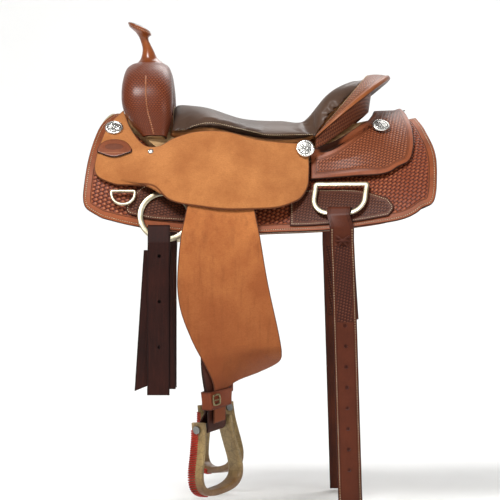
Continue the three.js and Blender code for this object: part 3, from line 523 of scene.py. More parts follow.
def stitched(name, path, normal, body, finish, pitch=4.6, part=0.66, radius=0.55, sink=0.15):
    """A row of stitches along a path: each is a short rod whose ends dip, sin(pi t) high over the surface.
    The path is walked in even steps, and each step has one stitch along its direction."""
    run = lengths(path)
    count = max(2, int(run[-1] / pitch))
    stops = (np.arange(count) + 0.5) * run[-1] / count

    def pick(values, at):
        """The values at these lengths along the line."""
        return spread_along(at, run, values)

    centre, up = pick(path, stops), pick(normal, stops)
    ahead = unit(pick(path, stops + 0.8) - pick(path, stops - 0.8))
    up -= (up * ahead).sum(1, keepdims=True) * ahead
    up = unit(up)
    across = np.cross(ahead, up)
    t = np.array([0, 0.12, 0.5, 0.88, 1])
    thick = radius * np.array([0.3, 0.8, 1, 0.8, 0.3])
    turn = np.arange(6) / 6 * 2 * np.pi
    along = (t - 0.5) * pitch * part
    high = radius * (1.0 * np.sin(np.pi * t) - 0.5) - sink
    ring = (centre[:, None, None] + along[None, :, None, None] * ahead[:, None, None]
            + (high[:, None] + thick[:, None] * np.sin(turn))[None, :, :, None] * up[:, None, None]
            + (thick[:, None] * np.cos(turn))[None, :, :, None] * across[:, None, None])
    side = grid_quads(5, 6, round_cols=True)
    ends = np.array([[0, 1, 2, 3], [0, 3, 4, 5], [27, 26, 25, 24], [29, 28, 27, 24]])
    one = np.vstack([side, ends])
    faces = (one[None] + (np.arange(count) * 30)[:, None, None]).reshape(-1, 4)
    return new_piece(name, ring.reshape(-1, 3), faces, body, finish, weld=False)


def inner_line(at, inset, thick, pitch=2.0, keep=None):
    """A line inside the panel at one distance from its edge, on its outer face, with the face's direction.
    Each point of the outline moves in square to it, and points nearer to the edge than that are dropped."""
    line = outline(at, pitch)
    ahead = np.roll(line, -2, 0) - np.roll(line, 2, 0)
    square = np.stack([-ahead[:, 1], ahead[:, 0]], -1) / np.linalg.norm(ahead, axis=1, keepdims=True)
    area = (line[:, 0] * np.roll(line[:, 1], -1) - line[:, 1] * np.roll(line[:, 0], -1)).sum()
    moved = line + square * inset * np.sign(area)
    moved = moved[rim_distance(moved, line) > inset - 0.3]
    u, v = np.meshgrid(np.linspace(0, 1, 90), np.linspace(0, 1, 40), indexing="ij")
    known = at(u, v).reshape(-1, 3)
    spots = flat(known)
    gap = np.sqrt(np.maximum((moved ** 2).sum(1)[:, None] + (spots ** 2).sum(1) - 2 * moved @ spots.T, 0))
    near = np.argsort(gap, 1)[:, :6]
    weight = 1 / (np.take_along_axis(gap, near, 1) ** 2 + 1)
    h = (known[near, 2] * weight).sum(1) / weight.sum(1)
    p = np.stack([moved[:, 0], moved[:, 1] / BACK_RADIUS, h + thick], -1)
    if keep is not None:
        wanted = keep(on_back(p))
        first = int(np.argmin(wanted))
        p = np.roll(p, -first, 0)[np.roll(wanted, -first)]
    up = np.stack([p[:, 0] * 0, np.sin(p[:, 1]), np.cos(p[:, 1])], -1)
    return on_back(p), up


def sew_panel(name, at, inset, thick, body="saddle", keep=None, **size):
    """Sews a row round both panels of a pair."""
    path, up = inner_line(at, inset, thick, keep=keep)
    for word, side in SIDES:
        rides = body if body == "saddle" else f"{body}_{word}"
        stitched(f"{name}_{word}", path * [1, side, 1], up * [1, side, 1], rides, thread(), **size)


skirt_at = skirt_edges(SKIRT_LIFT, 0)
panel("skirt", skirt_at, SKIRT_THICK, skirt_leather(), pitch=2.3,
      relief=basket_relief(SKIRT_CELL, STAMP_TURN, 0.8, SKIRT_BORDER))
sew_panel("skirt_stitches", skirt_at, 5.5, SKIRT_THICK, keep=lambda p: (p[:, 1] > 60) | (abs(p[:, 0]) > 290))


def plate_leather():
    hide = leather("rigging_leather", tint(62, 30, 20), tint(104, 56, 36), 0.45)
    # Painted shade in the stamp's gaps and scored line, and a painted highlight on its tops.
    stamp(hide, basket(hide, 0.0082, STAMP_TURN), 8.5, tint(28, 12, 7), tint(84, 42, 26), tint(140, 92, 64))
    score(hide, 4.2, 1.0, 1.0, 0.45)
    burnish(hide, tint(38, 18, 12))
    hide.bump(hide.height, 0.5, 0.0008)
    return hide.done(hide.colour, hide.rough)


front_plate_at = patch(
    [at_z(-268, -112, PLATE_LIFT), at_z(-240, -80, PLATE_LIFT), at_z(-190, -66, PLATE_LIFT),
     at_z(-120, -70, PLATE_LIFT)],
    [at_z(-264, -136, PLATE_LIFT), at_z(-220, -146, PLATE_LIFT), at_z(-170, -150, PLATE_LIFT),
     at_z(-120, -152, PLATE_LIFT)],
    [at_z(-268, -112, PLATE_LIFT), at_z(-270, -124, PLATE_LIFT), at_z(-264, -136, PLATE_LIFT)],
    [at_z(-120, -70, PLATE_LIFT), at_z(-120, -152, PLATE_LIFT)])
rear_plate_at = patch(
    [at_z(60, -88, PLATE_LIFT), at_z(120, -86, PLATE_LIFT), at_z(200, -88, PLATE_LIFT),
     at_z(256, -104, PLATE_LIFT)],
    [at_z(60, -160, PLATE_LIFT), at_z(120, -158, PLATE_LIFT), at_z(200, -150, PLATE_LIFT),
     at_z(256, -140, PLATE_LIFT)],
    [at_z(60, -88, PLATE_LIFT), at_z(60, -160, PLATE_LIFT)],
    [at_z(256, -104, PLATE_LIFT), at_z(267, -122, PLATE_LIFT), at_z(256, -140, PLATE_LIFT)])
plate_hide = plate_leather()
for plate_name, plate_at in (("front_plate", front_plate_at), ("rear_plate", rear_plate_at)):
    panel(plate_name, plate_at, PLATE_THICK, plate_hide, relief=basket_relief(8.2, STAMP_TURN, 0.4, 8.5))
    sew_panel(f"{plate_name}_stitches", plate_at, 4.2, PLATE_THICK)


# Tree. Two wooden bars on the skirts, a wooden fork and cantle that join them, and the horn's steel core.
# They are bare under the leather, and only the channel below the fork and the seat lets them be seen.
def bare(nodes, finish):
    for node in nodes:
        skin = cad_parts[node].data.materials
        skin.clear()
        skin.append(finish)


def pine():
    grain = Finish("tree_pine", Specular_IOR_Level=0.3)
    stretched = grain.node("ShaderNodeMapping", {}, grain.place(), (0, 0, 0), (0, 0, 0), (4, 40, 40))
    rings = grain.noise(3.0, 6.0, 0.6, stretched)
    grain.bump(rings, 0.3, 0.002)
    tone = grain.mix(grain.span(rings, 0.3, 0.7), tint(142, 102, 62), tint(208, 172, 124))
    return grain.done(tone, 0.5 + 0.3 * rings)


def steel():
    core = Finish("bare_steel", Metallic=1.0)
    cloud, scratch = core.noise(80.0, 4.0, 0.6), core.noise(900.0, 2.0, 0.6)
    core.bump(scratch, 0.15, 0.0003)
    return core.done(core.mix(cloud, tint(92, 92, 92), tint(168, 168, 164)), 0.3 + 0.2 * cloud)


bare(["tree_fork", "tree_bar_near", "tree_bar_off", "tree_cantle"], pine())
bare(["horn_core", "stirrup_bolt_near", "stirrup_bolt_off"], steel())

# Swell cover. The fork is wrapped in one glossy red-brown leather, stamped all over with a fine pattern, and
# closed down the middle of each side with a beaded welt. A plain lining closes the arch underneath.
FORK_LINE = [[-230, 0, 152], [-231, 52, 142], [-231, 92, 112], [-229, 108, 82], [-222, 116, 50],
             [-214, 125, 20]]
FORK_DEEP = [41, 45, 48, 46, 35, 20]
FORK_WIDE = [30, 33, 38, 35, 25, 14]
COVER_IN, COVER_OUT = 0.8, 4.8
BAR_BED = 45.1


def even_spline(values, t):
    """A uniform Catmull-Rom curve through single values, at t from 0 to 1."""
    values = np.asarray(values, float)
    span = np.clip(t, 0, 1) * (len(values) - 1)
    k = np.minimum(span.astype(int), len(values) - 2)
    w = span - k
    a, b, c, d = (values[np.clip(k + n, 0, len(values) - 1)] for n in (-1, 0, 1, 2))
    start, end = (c - a) / 2, (d - b) / 2
    return b + start * w + (3 * (c - b) - 2 * start - end) * w ** 2 + (2 * (b - c) + start + end) * w ** 3


def fork_skin(t, angle, grow):
    """The fork's arch at t from -1 near to 1 off. Its section is the half depth along the saddle times cos
    and the half width across the arch times sin, both grown by the leather. Outside it is a squarer oval,
    both divided by (|cos|^3 + |sin|^3)^(1/3)."""
    s = abs(t)
    square_off = np.where(np.sin(angle) > 0, 3.0, 2.0)
    full = (abs(np.cos(angle)) ** square_off + abs(np.sin(angle)) ** square_off) ** (-1 / square_off)
    mirror = np.where(t < 0, -1.0, 1.0)
    p = smooth_line(FORK_LINE, s)
    behind, ahead = (smooth_line(FORK_LINE, np.clip(s + step, 0, 1)) for step in (-0.002, 0.002))
    ahead = ahead - behind
    square = unit(np.stack([-ahead[..., 2], ahead[..., 1]], -1))
    square = np.where(s[..., None] < 1e-6, [0, 1], square)
    b = np.sin(angle) * full * (even_spline(FORK_WIDE, s) + grow)
    return np.stack([p[..., 0] + np.cos(angle) * full * (even_spline(FORK_DEEP, s) + grow),
                     mirror * (p[..., 1] + b * square[..., 0]), p[..., 2] + b * square[..., 1]], -1)


def above_bars(points, lift=BAR_BED):
    """Lifts points that would sink into the bars up to the bars' upper faces."""
    x, out, z = points[..., 0], abs(points[..., 1]), points[..., 2]
    across, up = out + BACK_RADIUS * np.sin(slope(x)), z - ridge(x) + BACK_RADIUS * np.cos(slope(x))
    high = np.hypot(across, up) - BACK_RADIUS
    rise = np.maximum(lift - high, 0) / np.cos(np.arctan2(across, up))
    return points + np.stack([rise * 0, rise * 0, rise], -1)


def wrap(name, node, angles, grow, finish, arch=1.0, rows=181):
    """A leather wrapped on the fork between two angles, with both its faces, closed along a round edge."""
    t, angle = np.meshgrid(np.linspace(-arch, arch, rows), np.radians(angles), indexing="ij")
    girth = np.concatenate([[0], np.cumsum(np.hypot(np.diff(np.cos(np.radians(angles)) * 45),
                                                    np.diff(np.sin(np.radians(angles)) * 35)))])
    along = np.abs(t) * 180
    rim = np.minimum(np.minimum(girth, girth[-1] - girth)[None, :], 180 - along)
    half = (grow[1] - grow[0]) / 2
    fall = half * (1 - np.sqrt(np.clip(1 - (1 - np.clip(rim / half, 0, 1)) ** 2, 0, 1)))
    faces = [above_bars(fork_skin(t, angle, grow[0] + fall)),
             above_bars(fork_skin(t, angle, grow[1] - fall))]
    shape = t.shape
    quads = np.vstack([grid_quads(*shape), grid_quads(*shape, shape[0] * shape[1], True)])
    layout = np.stack([t * 180, np.broadcast_to(girth, shape)], -1).reshape(-1, 2) / 1000
    piece = new_piece(name, np.concatenate([face.reshape(-1, 3) for face in faces]), quads, "saddle", finish,
                      {"rim": np.tile(rim.ravel(), 2)}, np.tile(layout, (2, 1)))
    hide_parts(node)
    return piece


def swell_leather():
    hide = leather("swell_leather", tint(84, 36, 18), tint(130, 64, 34), 0.3, coat=0.28)
    pattern = basket(hide, 0.0052, 1.571)
    # Painted shade in the stamp's gaps and a painted highlight on its tops.
    stamp(hide, pattern, 3.0, tint(46, 17, 8), tint(112, 52, 27), tint(158, 88, 52))
    burnish(hide, tint(42, 18, 10))
    hide.bump(hide.height, 0.4, 0.0006)
    return hide.done(hide.colour, hide.rough)


def lining_leather():
    hide = leather("lining_leather", tint(112, 58, 30), tint(150, 88, 50), 0.45)
    burnish(hide, tint(60, 30, 16))
    hide.bump(hide.height, 0.3, 0.0005)
    return hide.done(hide.colour, hide.rough)


def edged(low, high, steps):
    """Angles from low to high, closer together at both ends."""
    return np.concatenate([[low, low + 0.4, low + 1.4], np.linspace(low + 2.8, high - 2.8, steps),
                           [high - 1.4, high - 0.4, high]])


wrap("swell_cover_leather", "swell_cover", edged(-30, 210, 90), (COVER_IN, COVER_OUT), swell_leather())
wrap("gullet_lining_leather", "gullet_lining", edged(-141, -39, 40), (COVER_IN, COVER_IN + 2.5),
     lining_leather())


def beads(name, path, up, body, finish, pitch, radius, squash=0.8):
    """Round beads laid along a path: a globe at each step, 8 round and 5 high, flattened along its
    normal."""
    run = lengths(path)
    stops = np.arange(pitch / 2, run[-1], pitch)
    centre, lift = spread_along(stops, run, path), unit(spread_along(stops, run, up))
    first = unit(np.cross(lift, [0.31, 0.2, 0.93]))
    second = np.cross(lift, first)
    theta = np.linspace(0.01, np.pi - 0.01, 6)
    turn = np.arange(8) / 8 * 2 * np.pi
    ring = np.sin(theta)[:, None] * radius
    shape = (centre[:, None, None] + (np.cos(theta) * radius * squash)[None, :, None, None]
             * lift[:, None, None]
             + (ring * np.cos(turn))[None, :, :, None] * first[:, None, None]
             + (ring * np.sin(turn))[None, :, :, None] * second[:, None, None])
    one = np.vstack([grid_quads(6, 8, round_cols=True), [[0, 1, 2, 3], [0, 3, 4, 7], [4, 5, 6, 7],
                     [43, 42, 41, 40], [47, 44, 43, 40], [47, 46, 45, 44]]])
    faces = (one[None] + (np.arange(len(stops)) * 48)[:, None, None]).reshape(-1, 4)
    piece = new_piece(name, shape.reshape(-1, 3), faces, body, finish, weld=False)
    face_out(piece.data)
    return piece


def welt_leather():
    hide = Finish("welt_leather", Coat_Weight=0.6, Coat_Roughness=0.15)
    cloud = hide.noise(90.0)
    return hide.done(hide.mix(cloud, tint(120, 62, 34), tint(196, 128, 84)), 0.25 + 0.1 * cloud)


welt_hide = welt_leather()
for word, side in SIDES:
    t = side * np.linspace(0.36, 0.985, 120)
    seam = above_bars(fork_skin(t, t * 0 + np.radians(92), COVER_OUT + 0.2))
    inner_seam = fork_skin(t, t * 0 + np.radians(92), 0)
    beads(f"swell_welt_{word}", seam, seam - inner_seam, "saddle", welt_hide, 4.4, 2.1)


# Horn. A steel core wrapped in glossy chestnut leather: a slim neck that leans forward and flares into the
# fork, and an oval cap of two layers whose top is rubbed almost black. The cap's edge is sewn all round.
HORN_LEAN = 22
NECK = np.array([[-229, 176, 36, 38, 0], [-229, 186, 25, 27, 0], [-230, 192, 19, 20, 2],
                 [-231, 199, 15.5, 16.5, 6],
                 [-233, 212, 12.2, 13, 12], [-238.5, 227, 10.8, 11.4, 17], [-242.4, 236, 11.2, 12.4, 20],
                 [-245.8, 243, 14.6, 16.4, 22], [-247.9, 247.4, 19.6, 22, 22],
                 [-249.2, 250.4, 23.4, 26.4, 22]])


def turned_stack(stations, sides, steps, smooth=True):
    """Oval sections carried up a line. Each station is x, z, half length, half width and lean in degrees,
    and a smooth curve runs through the stations. A section is cos(turn) * half length along, leaning, and
    sin(turn) * half width across."""
    t = np.linspace(0, 1, steps)
    s = smooth_line(stations, t) if smooth else np.asarray(stations, float)
    turn = np.arange(sides) / sides * 2 * np.pi
    along, across = np.cos(turn) * s[:, 2:3], np.sin(turn) * s[:, 3:4]
    lean = np.radians(s[:, 4:5])
    return np.stack([s[:, 0:1] + along * np.cos(lean), across, s[:, 1:2] - along * np.sin(lean)], -1)


def drawn_together(rings):
    """Points and faces of rings joined in order, with each end ring drawn together to its middle point."""
    steps, sides = rings.shape[:2]
    points = np.vstack([rings.reshape(-1, 3), rings[0].mean(0), rings[-1].mean(0)])
    faces = grid_quads(steps, sides, round_cols=True).tolist()
    k = np.arange(sides)
    low, last = steps * sides, (steps - 1) * sides
    faces += np.stack([k, (k + 1) % sides, k * 0 + low], -1).tolist()
    faces += np.stack([last + (k + 1) % sides, last + k, k * 0 + low + 1], -1).tolist()
    return points, faces


def closed_stack(name, node, rings, finish, body="saddle"):
    """Joins rings into a closed piece with its ends drawn together to a point each."""
    points, faces = drawn_together(rings)
    mesh = bpy.data.meshes.new(name)
    mesh.from_pydata((points / 1000).tolist(), [], faces)
    face_out(mesh)
    piece = shown(name, mesh, body, finish)
    if node:
        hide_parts(node)
    return piece


def horn_leather():
    hide = leather("horn_leather", tint(104, 46, 20), tint(158, 86, 40), 0.22, coat=0.55)
    high = hide.node("ShaderNodeSeparateXYZ", {}, hide.place(), out=2)
    hide.colour = hide.mix(hide.span(high, 0.18, 0.2, 0.6, 0.0), hide.colour, tint(78, 32, 16))
    hide.bump(hide.height, 0.15, 0.0004)
    return hide.done(hide.colour, hide.rough)


def cap_leather():
    """Chestnut below and almost black on top, with a polished pale line along the upper edge."""
    hide = leather("horn_cap_leather", tint(108, 50, 24), tint(156, 84, 42), 0.2, coat=0.5)
    split = hide.node("ShaderNodeSeparateXYZ", {}, hide.place())
    x, z = split, Wire(hide, split.socket.node.outputs[2])
    level = z + x * math.tan(math.radians(HORN_LEAN))
    crown = 0.2615 - 0.2524 * math.tan(math.radians(HORN_LEAN))
    black = hide.span(level, crown - 0.0022, crown - 0.0008)
    hide.colour = hide.mix(black, hide.colour, hide.mix(hide.cloud, tint(34, 22, 18), tint(62, 38, 28)))
    layer = hide.span(abs(level - (crown - 0.0052)), 0.0003, 0.0008, 1.0, 0.0)
    hide.colour = hide.mix(layer * 0.8, hide.colour, tint(52, 24, 12))
    hide.height = hide.height - layer * 2.0
    hide.bump(hide.height, 0.25, 0.0006)
    return hide.done(hide.colour, hide.rough)


neck_rings = turned_stack(NECK, 48, 70)
closed_stack("horn_wrap_leather", "horn_wrap", neck_rings, horn_leather())
cap_profile = [(0.15, -3.6), (0.5, -3.4), (0.8, -2.9)]
cap_profile += [(1 - 0.055 * (1 - math.cos(a)) - 0.01, 1.2 + 5.4 * math.sin(a))
                for a in np.linspace(-1.35, 1.2, 16)]
cap_profile += [(0.86, 8.0), (0.7, 9.4), (0.5, 10.6), (0.3, 11.3), (0.12, 11.6)]
cap_r, cap_h = np.array(cap_profile).T
lean = math.radians(HORN_LEAN)
cap_stations = np.stack([-250.4 - cap_h * math.sin(lean) * 0.9, 254.2 + cap_h * math.cos(lean), cap_r * 25.5,
                         cap_r * 28.5, cap_r * 0 + HORN_LEAN], -1)
closed_stack("horn_cap_leather", "horn_cap", turned_stack(cap_stations, 64, 0, False), cap_leather())
horn_ring = turned_stack(np.array([[-250.4, 254.6, 25.1, 28.1, HORN_LEAN]] * 2), 120, 0, False)[0]
horn_ring = np.vstack([horn_ring, horn_ring[:1]])
horn_out = horn_ring - horn_ring[:-1].mean(0)
stitched("horn_cap_stitches", horn_ring, horn_out, "saddle", thread(), pitch=4.2, radius=0.4)


# Ground seat and seat. A shaped chestnut leather on the tree, and over it the padded seat: dark brown smooth
# leather on foam, swollen between its edges, sewn down with cream thread all along its lower edge.
CANTLE_FRONT, CANTLE_TOP, CANTLE_LOW, CANTLE_HIGH, CANTLE_HALF = 112, 222, 22, 157, 152
PAD_SINK = 1.6


def line_of(pairs):
    """A smooth height against length: a uniform curve through the pairs, read off by its length."""
    pairs = np.asarray(pairs, float)
    t = np.linspace(0, 1, 400)
    x, y = even_spline(pairs[:, 0], t), even_spline(pairs[:, 1], t)
    return lambda at: np.interp(at, x, y)


crest = line_of([[-182, 93], [-141, 90], [-104, 84], [-39, 63], [20, 58], [80, 60], [97, 67], [120, 94],
                 [141, 117], [175, 141], [205, 153], [222, 157]])
seat_edge = line_of([[-182, 34], [-154, 35], [-126, 46], [-97, 50], [-67, 45], [-10, 31], [19, 25], [82, 25],
                     [112, 22]])
seat_half = line_of([[-182, 124], [-154, 136], [-126, 142], [-67, 148], [0, 151], [60, 153], [112, 152]])


def smooth(x, low, high):
    """0 before low, 1 after high and 3 t^2 - 2 t^3 between them."""
    t = np.clip((x - low) / (high - low), 0, 1)
    return t * t * (3 - 2 * t)


def rim_half(x):
    """Half width of the cantle's rim, a full oval arc in plan: half * (1 - c^2.3)^(1/2.1)."""
    c = np.clip((x - CANTLE_FRONT) / (CANTLE_TOP - CANTLE_FRONT), 0, 1)
    return CANTLE_HALF * (1 - c ** 2.3) ** (1 / 2.1)


def rim_z(x):
    return CANTLE_LOW + (CANTLE_HIGH - CANTLE_LOW) * (x - CANTLE_FRONT) / (CANTLE_TOP - CANTLE_FRONT)


def seat_top(x, v):
    """The seat's surface at length x, for v from -1 to 1 across it. It is low + (crest - low) * (1 - |v|^k),
    with k from 2.4 in front to 5 by the cantle, less a dish where the rider sits."""
    on_cantle = x > CANTLE_FRONT
    half = np.where(on_cantle, rim_half(x), seat_half(x))
    low = np.where(on_cantle, rim_z(x), seat_edge(x))
    dish = smooth(x, 40, 150) * (1 - smooth(x, 170, 221))
    power = 2.4 + 2.6 * smooth(x, 60, 150)
    hollow = 36 * dish * (1 - np.minimum(1, (v / 0.75) ** 2)) ** 2
    return np.stack([x, v * half, low + (crest(x) - low) * (1 - abs(v) ** power) - hollow], -1)


def seat_length(u):
    """Length along the seat for u from 0 to 1: even up to the cantle, then slowing as a sine to its top."""
    straight = 0.6
    turn = np.clip((u - straight) / (1 - straight), 0, 1) * np.pi / 2
    front = -182 + (CANTLE_FRONT + 182) * u / straight
    return np.where(u < straight, front, CANTLE_FRONT + (CANTLE_TOP - 0.6 - CANTLE_FRONT) * np.sin(turn))


def seat_sheet(u, w, spread, drop):
    """The seat's surface over the grid u by w, lowered by drop(|v|), with v = sin(w * 90 degrees) *
    spread."""
    v = np.sin(w * np.pi / 2) * spread
    p = seat_top(seat_length(u), v)
    return p - np.stack([v * 0, v * 0, drop(abs(v))], -1)


def seat_grid(rows, cols):
    return np.meshgrid(np.linspace(0, 1, rows), np.linspace(-1, 1, cols), indexing="ij")


def closed_sheet(upper, lower):
    """Points and faces of a body between two grids, with a wall of quads round its edge."""
    rows, cols = upper.shape[:2]
    lift = rows * cols
    k = np.arange(lift).reshape(rows, cols)
    ring = np.concatenate([k[:-1, 0], k[-1, :-1], k[:0:-1, -1], k[0, :0:-1]])
    after = np.roll(ring, -1)
    wall = np.stack([ring, after, after + lift, ring + lift], -1)
    points = np.concatenate([lower.reshape(-1, 3), upper.reshape(-1, 3)])
    return points, np.vstack([grid_quads(rows, cols), grid_quads(rows, cols, lift, True), wall])


def rough_leather(name, pale, deep, dark):
    """Rough-out leather: a napped face with soft cloudy patches, scuffs and short raised fibres."""
    hide = Finish(name, Sheen_Weight=0.12, Sheen_Roughness=0.5, Specular_IOR_Level=0.2)
    patches, nap = hide.noise(14.0, 5.0, 0.65), hide.noise(420.0, 4.0, 0.7)
    stretched = hide.node("ShaderNodeMapping", {}, hide.place(), (0, 0, 0), (0, 0.4, 0), (60, 60, 240))
    fibres = hide.noise(3.0, 4.0, 0.65, stretched)
    fleck = hide.grains(140.0, "F1")
    hide.colour = hide.mix(hide.span(patches, 0.36, 0.66), deep, pale)
    hide.colour = hide.mix(hide.span(nap * 0.6 + fibres * 0.4, 0.42, 0.64, 0.0, 0.34), hide.colour, dark)
    hide.colour = hide.mix(hide.span(fleck, 0.0, 0.12, 0.22, 0.0), hide.colour, dark)
    hide.height = nap * 1.2 + fibres * 0.8 + hide.noise(1300.0, 2.0, 0.7) * 0.6
    hide.rough = 0.86 + 0.1 * nap
    return hide


def ground_leather():
    hide = rough_leather("ground_leather", tint(202, 138, 84), tint(180, 116, 66), tint(140, 84, 44))
    hide.bump(hide.height, 0.5, 0.0007)
    return hide.done(hide.colour, hide.rough)


u, w = seat_grid(150, 90)
ground_upper = seat_sheet(u, w, 0.88, lambda v: 19 - 3 * v ** 3)
ground_lower = above_bars(seat_sheet(u, w, 0.88, lambda v: 25 + v * 0), BAR_BED - 0.6)
ground_lower = np.minimum(ground_lower, ground_upper - [0, 0, 0.6])
ground = new_piece("ground_seat_leather", *closed_sheet(ground_upper, ground_lower), "saddle",
                   ground_leather())
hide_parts("ground_seat")


def seat_leather():
    """Smooth dark brown leather with a soft sheen, pebbled finely, a little worn where the rider sits."""
    hide = leather("seat_leather", tint(56, 40, 31), tint(82, 61, 48), 0.4, grain=520.0, deep=0.5, coat=0.12)
    worn = hide.noise(7.0, 2.0, 0.5)
    hide.colour = hide.mix(hide.span(worn, 0.5, 0.7, 0.0, 0.4), hide.colour, tint(98, 75, 60))
    hide.bump(hide.height, 0.3, 0.0004)
    return hide.done(hide.colour, hide.rough)


def swell_pad(piece, cap):
    """Swells a pad by a cloth simulation under pressure without gravity, and lets no point move past cap."""
    remesh = piece.modifiers.new("even", "REMESH")
    remesh.mode, remesh.voxel_size = "VOXEL", 0.0045
    bpy.context.view_layer.update()
    even = bpy.data.meshes.new_from_object(piece.evaluated_get(bpy.context.evaluated_depsgraph_get()))
    piece.modifiers.clear()
    piece.data = even
    rest = np.empty(len(even.vertices) * 3)
    even.vertices.foreach_get("co", rest)
    cloth = piece.modifiers.new("foam", "CLOTH")
    cloth.settings.use_pressure = True
    cloth.settings.uniform_pressure_force = 4
    cloth.settings.effector_weights.gravity = 0
    cloth.settings.quality = 4
    cloth.point_cache.frame_end = 20
    for moment in range(1, 21):
        bpy.context.scene.frame_set(moment)
    swollen = bpy.data.meshes.new_from_object(piece.evaluated_get(bpy.context.evaluated_depsgraph_get()))
    piece.modifiers.clear()
    now = np.empty(len(swollen.vertices) * 3)
    swollen.vertices.foreach_get("co", now)
    move = (now - rest).reshape(-1, 3)
    size = np.linalg.norm(move, axis=1, keepdims=True)
    rest = (rest.reshape(-1, 3) + move * np.minimum(1, cap / np.maximum(size, 1e-9))).ravel()
    bpy.context.scene.frame_set(1)
    even.vertices.foreach_set("co", rest)
    even.update()
    even.polygons.foreach_set("use_smooth", [True] * len(even.polygons))


u, w = seat_grid(170, 130)
edge_in = np.minimum(np.minimum(u, 1 - u) * 400, (1 - abs(w)) * 120)
round_in = 4 * (1 - np.sqrt(np.clip(1 - (1 - np.clip(edge_in / 8, 0, 1)) ** 2, 0, 1)))
drop_in = np.stack([round_in * 0, round_in * 0, round_in], -1)
pad_upper = seat_sheet(u, w, 0.995, lambda v: PAD_SINK + v * 0) - drop_in * 0.35
pad_lower = seat_sheet(u, w, 0.995, lambda v: 15.5 - 9.5 * v ** 3) + drop_in * 0.1
seat_hide = seat_leather()
seat_pad = new_piece("seat_pad_leather", *closed_sheet(pad_upper, pad_lower), "saddle", seat_hide)
swell_pad(seat_pad, 0.006)
seat_pad.data.materials.clear()
seat_pad.data.materials.append(seat_hide)
finer = seat_pad.modifiers.new("finer", "SUBSURF")
finer.levels = finer.render_levels = 1
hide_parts("seat_pad")


SEAT_FRONT, SEAT_HALF = -182, 150


def seat_seam(inset, lift):
    """The seam's line: across the seat's front, and back along each side at one distance from the edge."""
    x = np.linspace(SEAT_FRONT + inset, 108, 220)
    out = seat_top(x, x * 0 + 1 - inset / SEAT_HALF)
    across = np.linspace(-1, 1, 90) * (1 - inset / SEAT_HALF)
    start = seat_top(np.full(90, float(SEAT_FRONT + inset)), across)
    near = out * [1, -1, 1]
    whole = np.vstack([near[::-1], start[1:-1], out])
    return whole + [0, 0, lift]


seam = seat_seam(4.5, -0.4)
seam_up = np.stack([seam[:, 0] * 0, seam[:, 1] / SEAT_HALF, np.full(len(seam), 0.8)], -1)
stitched("seat_stitches", seam, seam_up, "saddle", thread(), pitch=4.4, radius=0.55)


# Cantle. A wide rolled binding of chestnut leather over the wooden cantle, tooled along its middle, with a
# smooth rolled lip outside. It is sewn to the seat, and a stamped leather covers the cantle's back.
def cantle_rim(t):
    """The rim at t from -1 near to 1 off: its point, the way out of it in plan, and how high it stands."""
    turn = t * 0.995 * np.pi / 2
    x = CANTLE_FRONT + (CANTLE_TOP - CANTLE_FRONT) * np.cos(turn)
    point = np.stack([x, np.sign(t) * rim_half(x), rim_z(x)], -1)
    return point, np.stack([np.cos(turn), np.sin(turn), turn * 0], -1), np.cos(turn)


def band_section(high):
    """The binding's section for one height, as out and up: a crowned face, a rolled lip, and a flat
    underside."""
    width, deep = 10 + 41 * high ** 0.45, 5 + 7 * high ** 0.5
    face = [[0.8, -0.3], [width * 0.16, 1.6], [width * 0.42, 2.6], [width * 0.68, 1.7], [width * 0.8, 0.4],
            [width * 0.93, 0.2], [width, -deep * 0.5], [width - 4, -deep]]
    return smooth_line([[a, b, 0] for a, b in face], np.linspace(0, 1, 46))[:, :2], deep


def cantle_band(name, node, sections, rows, finish, relief=None):
    """Carries a closed section round the cantle's rim, and gathers each end to a point."""
    t = np.sin(np.linspace(-1, 1, rows) * np.pi / 2)
    point, out, high = cantle_rim(t)
    section = np.array([sections(h) for h in high])
    run = np.linalg.norm(np.diff(section, axis=1), axis=2)
    across = np.concatenate([np.zeros((rows, 1)), np.cumsum(run, 1)], 1)
    along = lengths(point)[:, None] + across * 0
    if relief is not None:
        section = section + np.stack([across * 0, relief(along, across, high[:, None])], -1)
    rings = (point[:, None] + section[..., :1] * out[:, None]
             + section[..., 1:] * np.array([0, 0, 1]))
    points, faces = drawn_together(rings)
    mesh = bpy.data.meshes.new(name)
    mesh.from_pydata((points / 1000).tolist(), [], faces)
    uv = np.vstack([np.stack([along, across], -1).reshape(-1, 2), [[0, 0], [along[-1, 0], 0]]]) / 1000
    corner = np.empty(len(mesh.loops), int)
    mesh.loops.foreach_get("vertex_index", corner)
    mesh.uv_layers.new(name="lay").data.foreach_set("uv", uv[corner].astype(np.float32).ravel())
    wide = np.maximum(10 + 41 * high ** 0.45, 1)[:, None]
    share = np.append((across / wide).ravel(), [0, 0])
    mesh.attributes.new("share", "FLOAT", "POINT").data.foreach_set("value", share.astype(np.float32))
    face_out(mesh)
    piece = shown(name, mesh, "saddle", finish)
    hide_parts(node)
    return piece


def binding_leather():
    hide = leather("binding_leather", tint(116, 62, 32), tint(160, 94, 52), 0.34, coat=0.16)
    share = hide.mark("share")
    inside = hide.span(share, 0.07, 0.1) * hide.span(share, 0.68, 0.71, 1.0, 0.0)
    pattern = basket(hide, 0.0085, STAMP_TURN)
    # Painted shade in the stamp's gaps and a painted highlight on its tops.
    tone = stamped(hide, pattern, tint(56, 24, 12), tint(132, 74, 40), tint(190, 130, 88))
    hide.colour = hide.mix(inside, hide.colour, tone)
    hide.height = hide.height + pattern * inside * 3.0
    # Three tooled lines, each darkened as painted shade.
    for place in (0.085, 0.7, 0.745):
        line = hide.span(abs(share - place), 0.006, 0.014, 1.0, 0.0)
        hide.colour = hide.mix(line * 0.75, hide.colour, tint(48, 22, 12))
        hide.height = hide.height - line * 2.2
    # Painted shade on the rolled lip's lower side and on the underside.
    hide.colour = hide.mix(hide.span(share, 1.08, 1.14), hide.colour, tint(70, 34, 18))
    hide.bump(hide.height, 0.45, 0.0008)
    return hide.done(hide.colour, hide.rough)


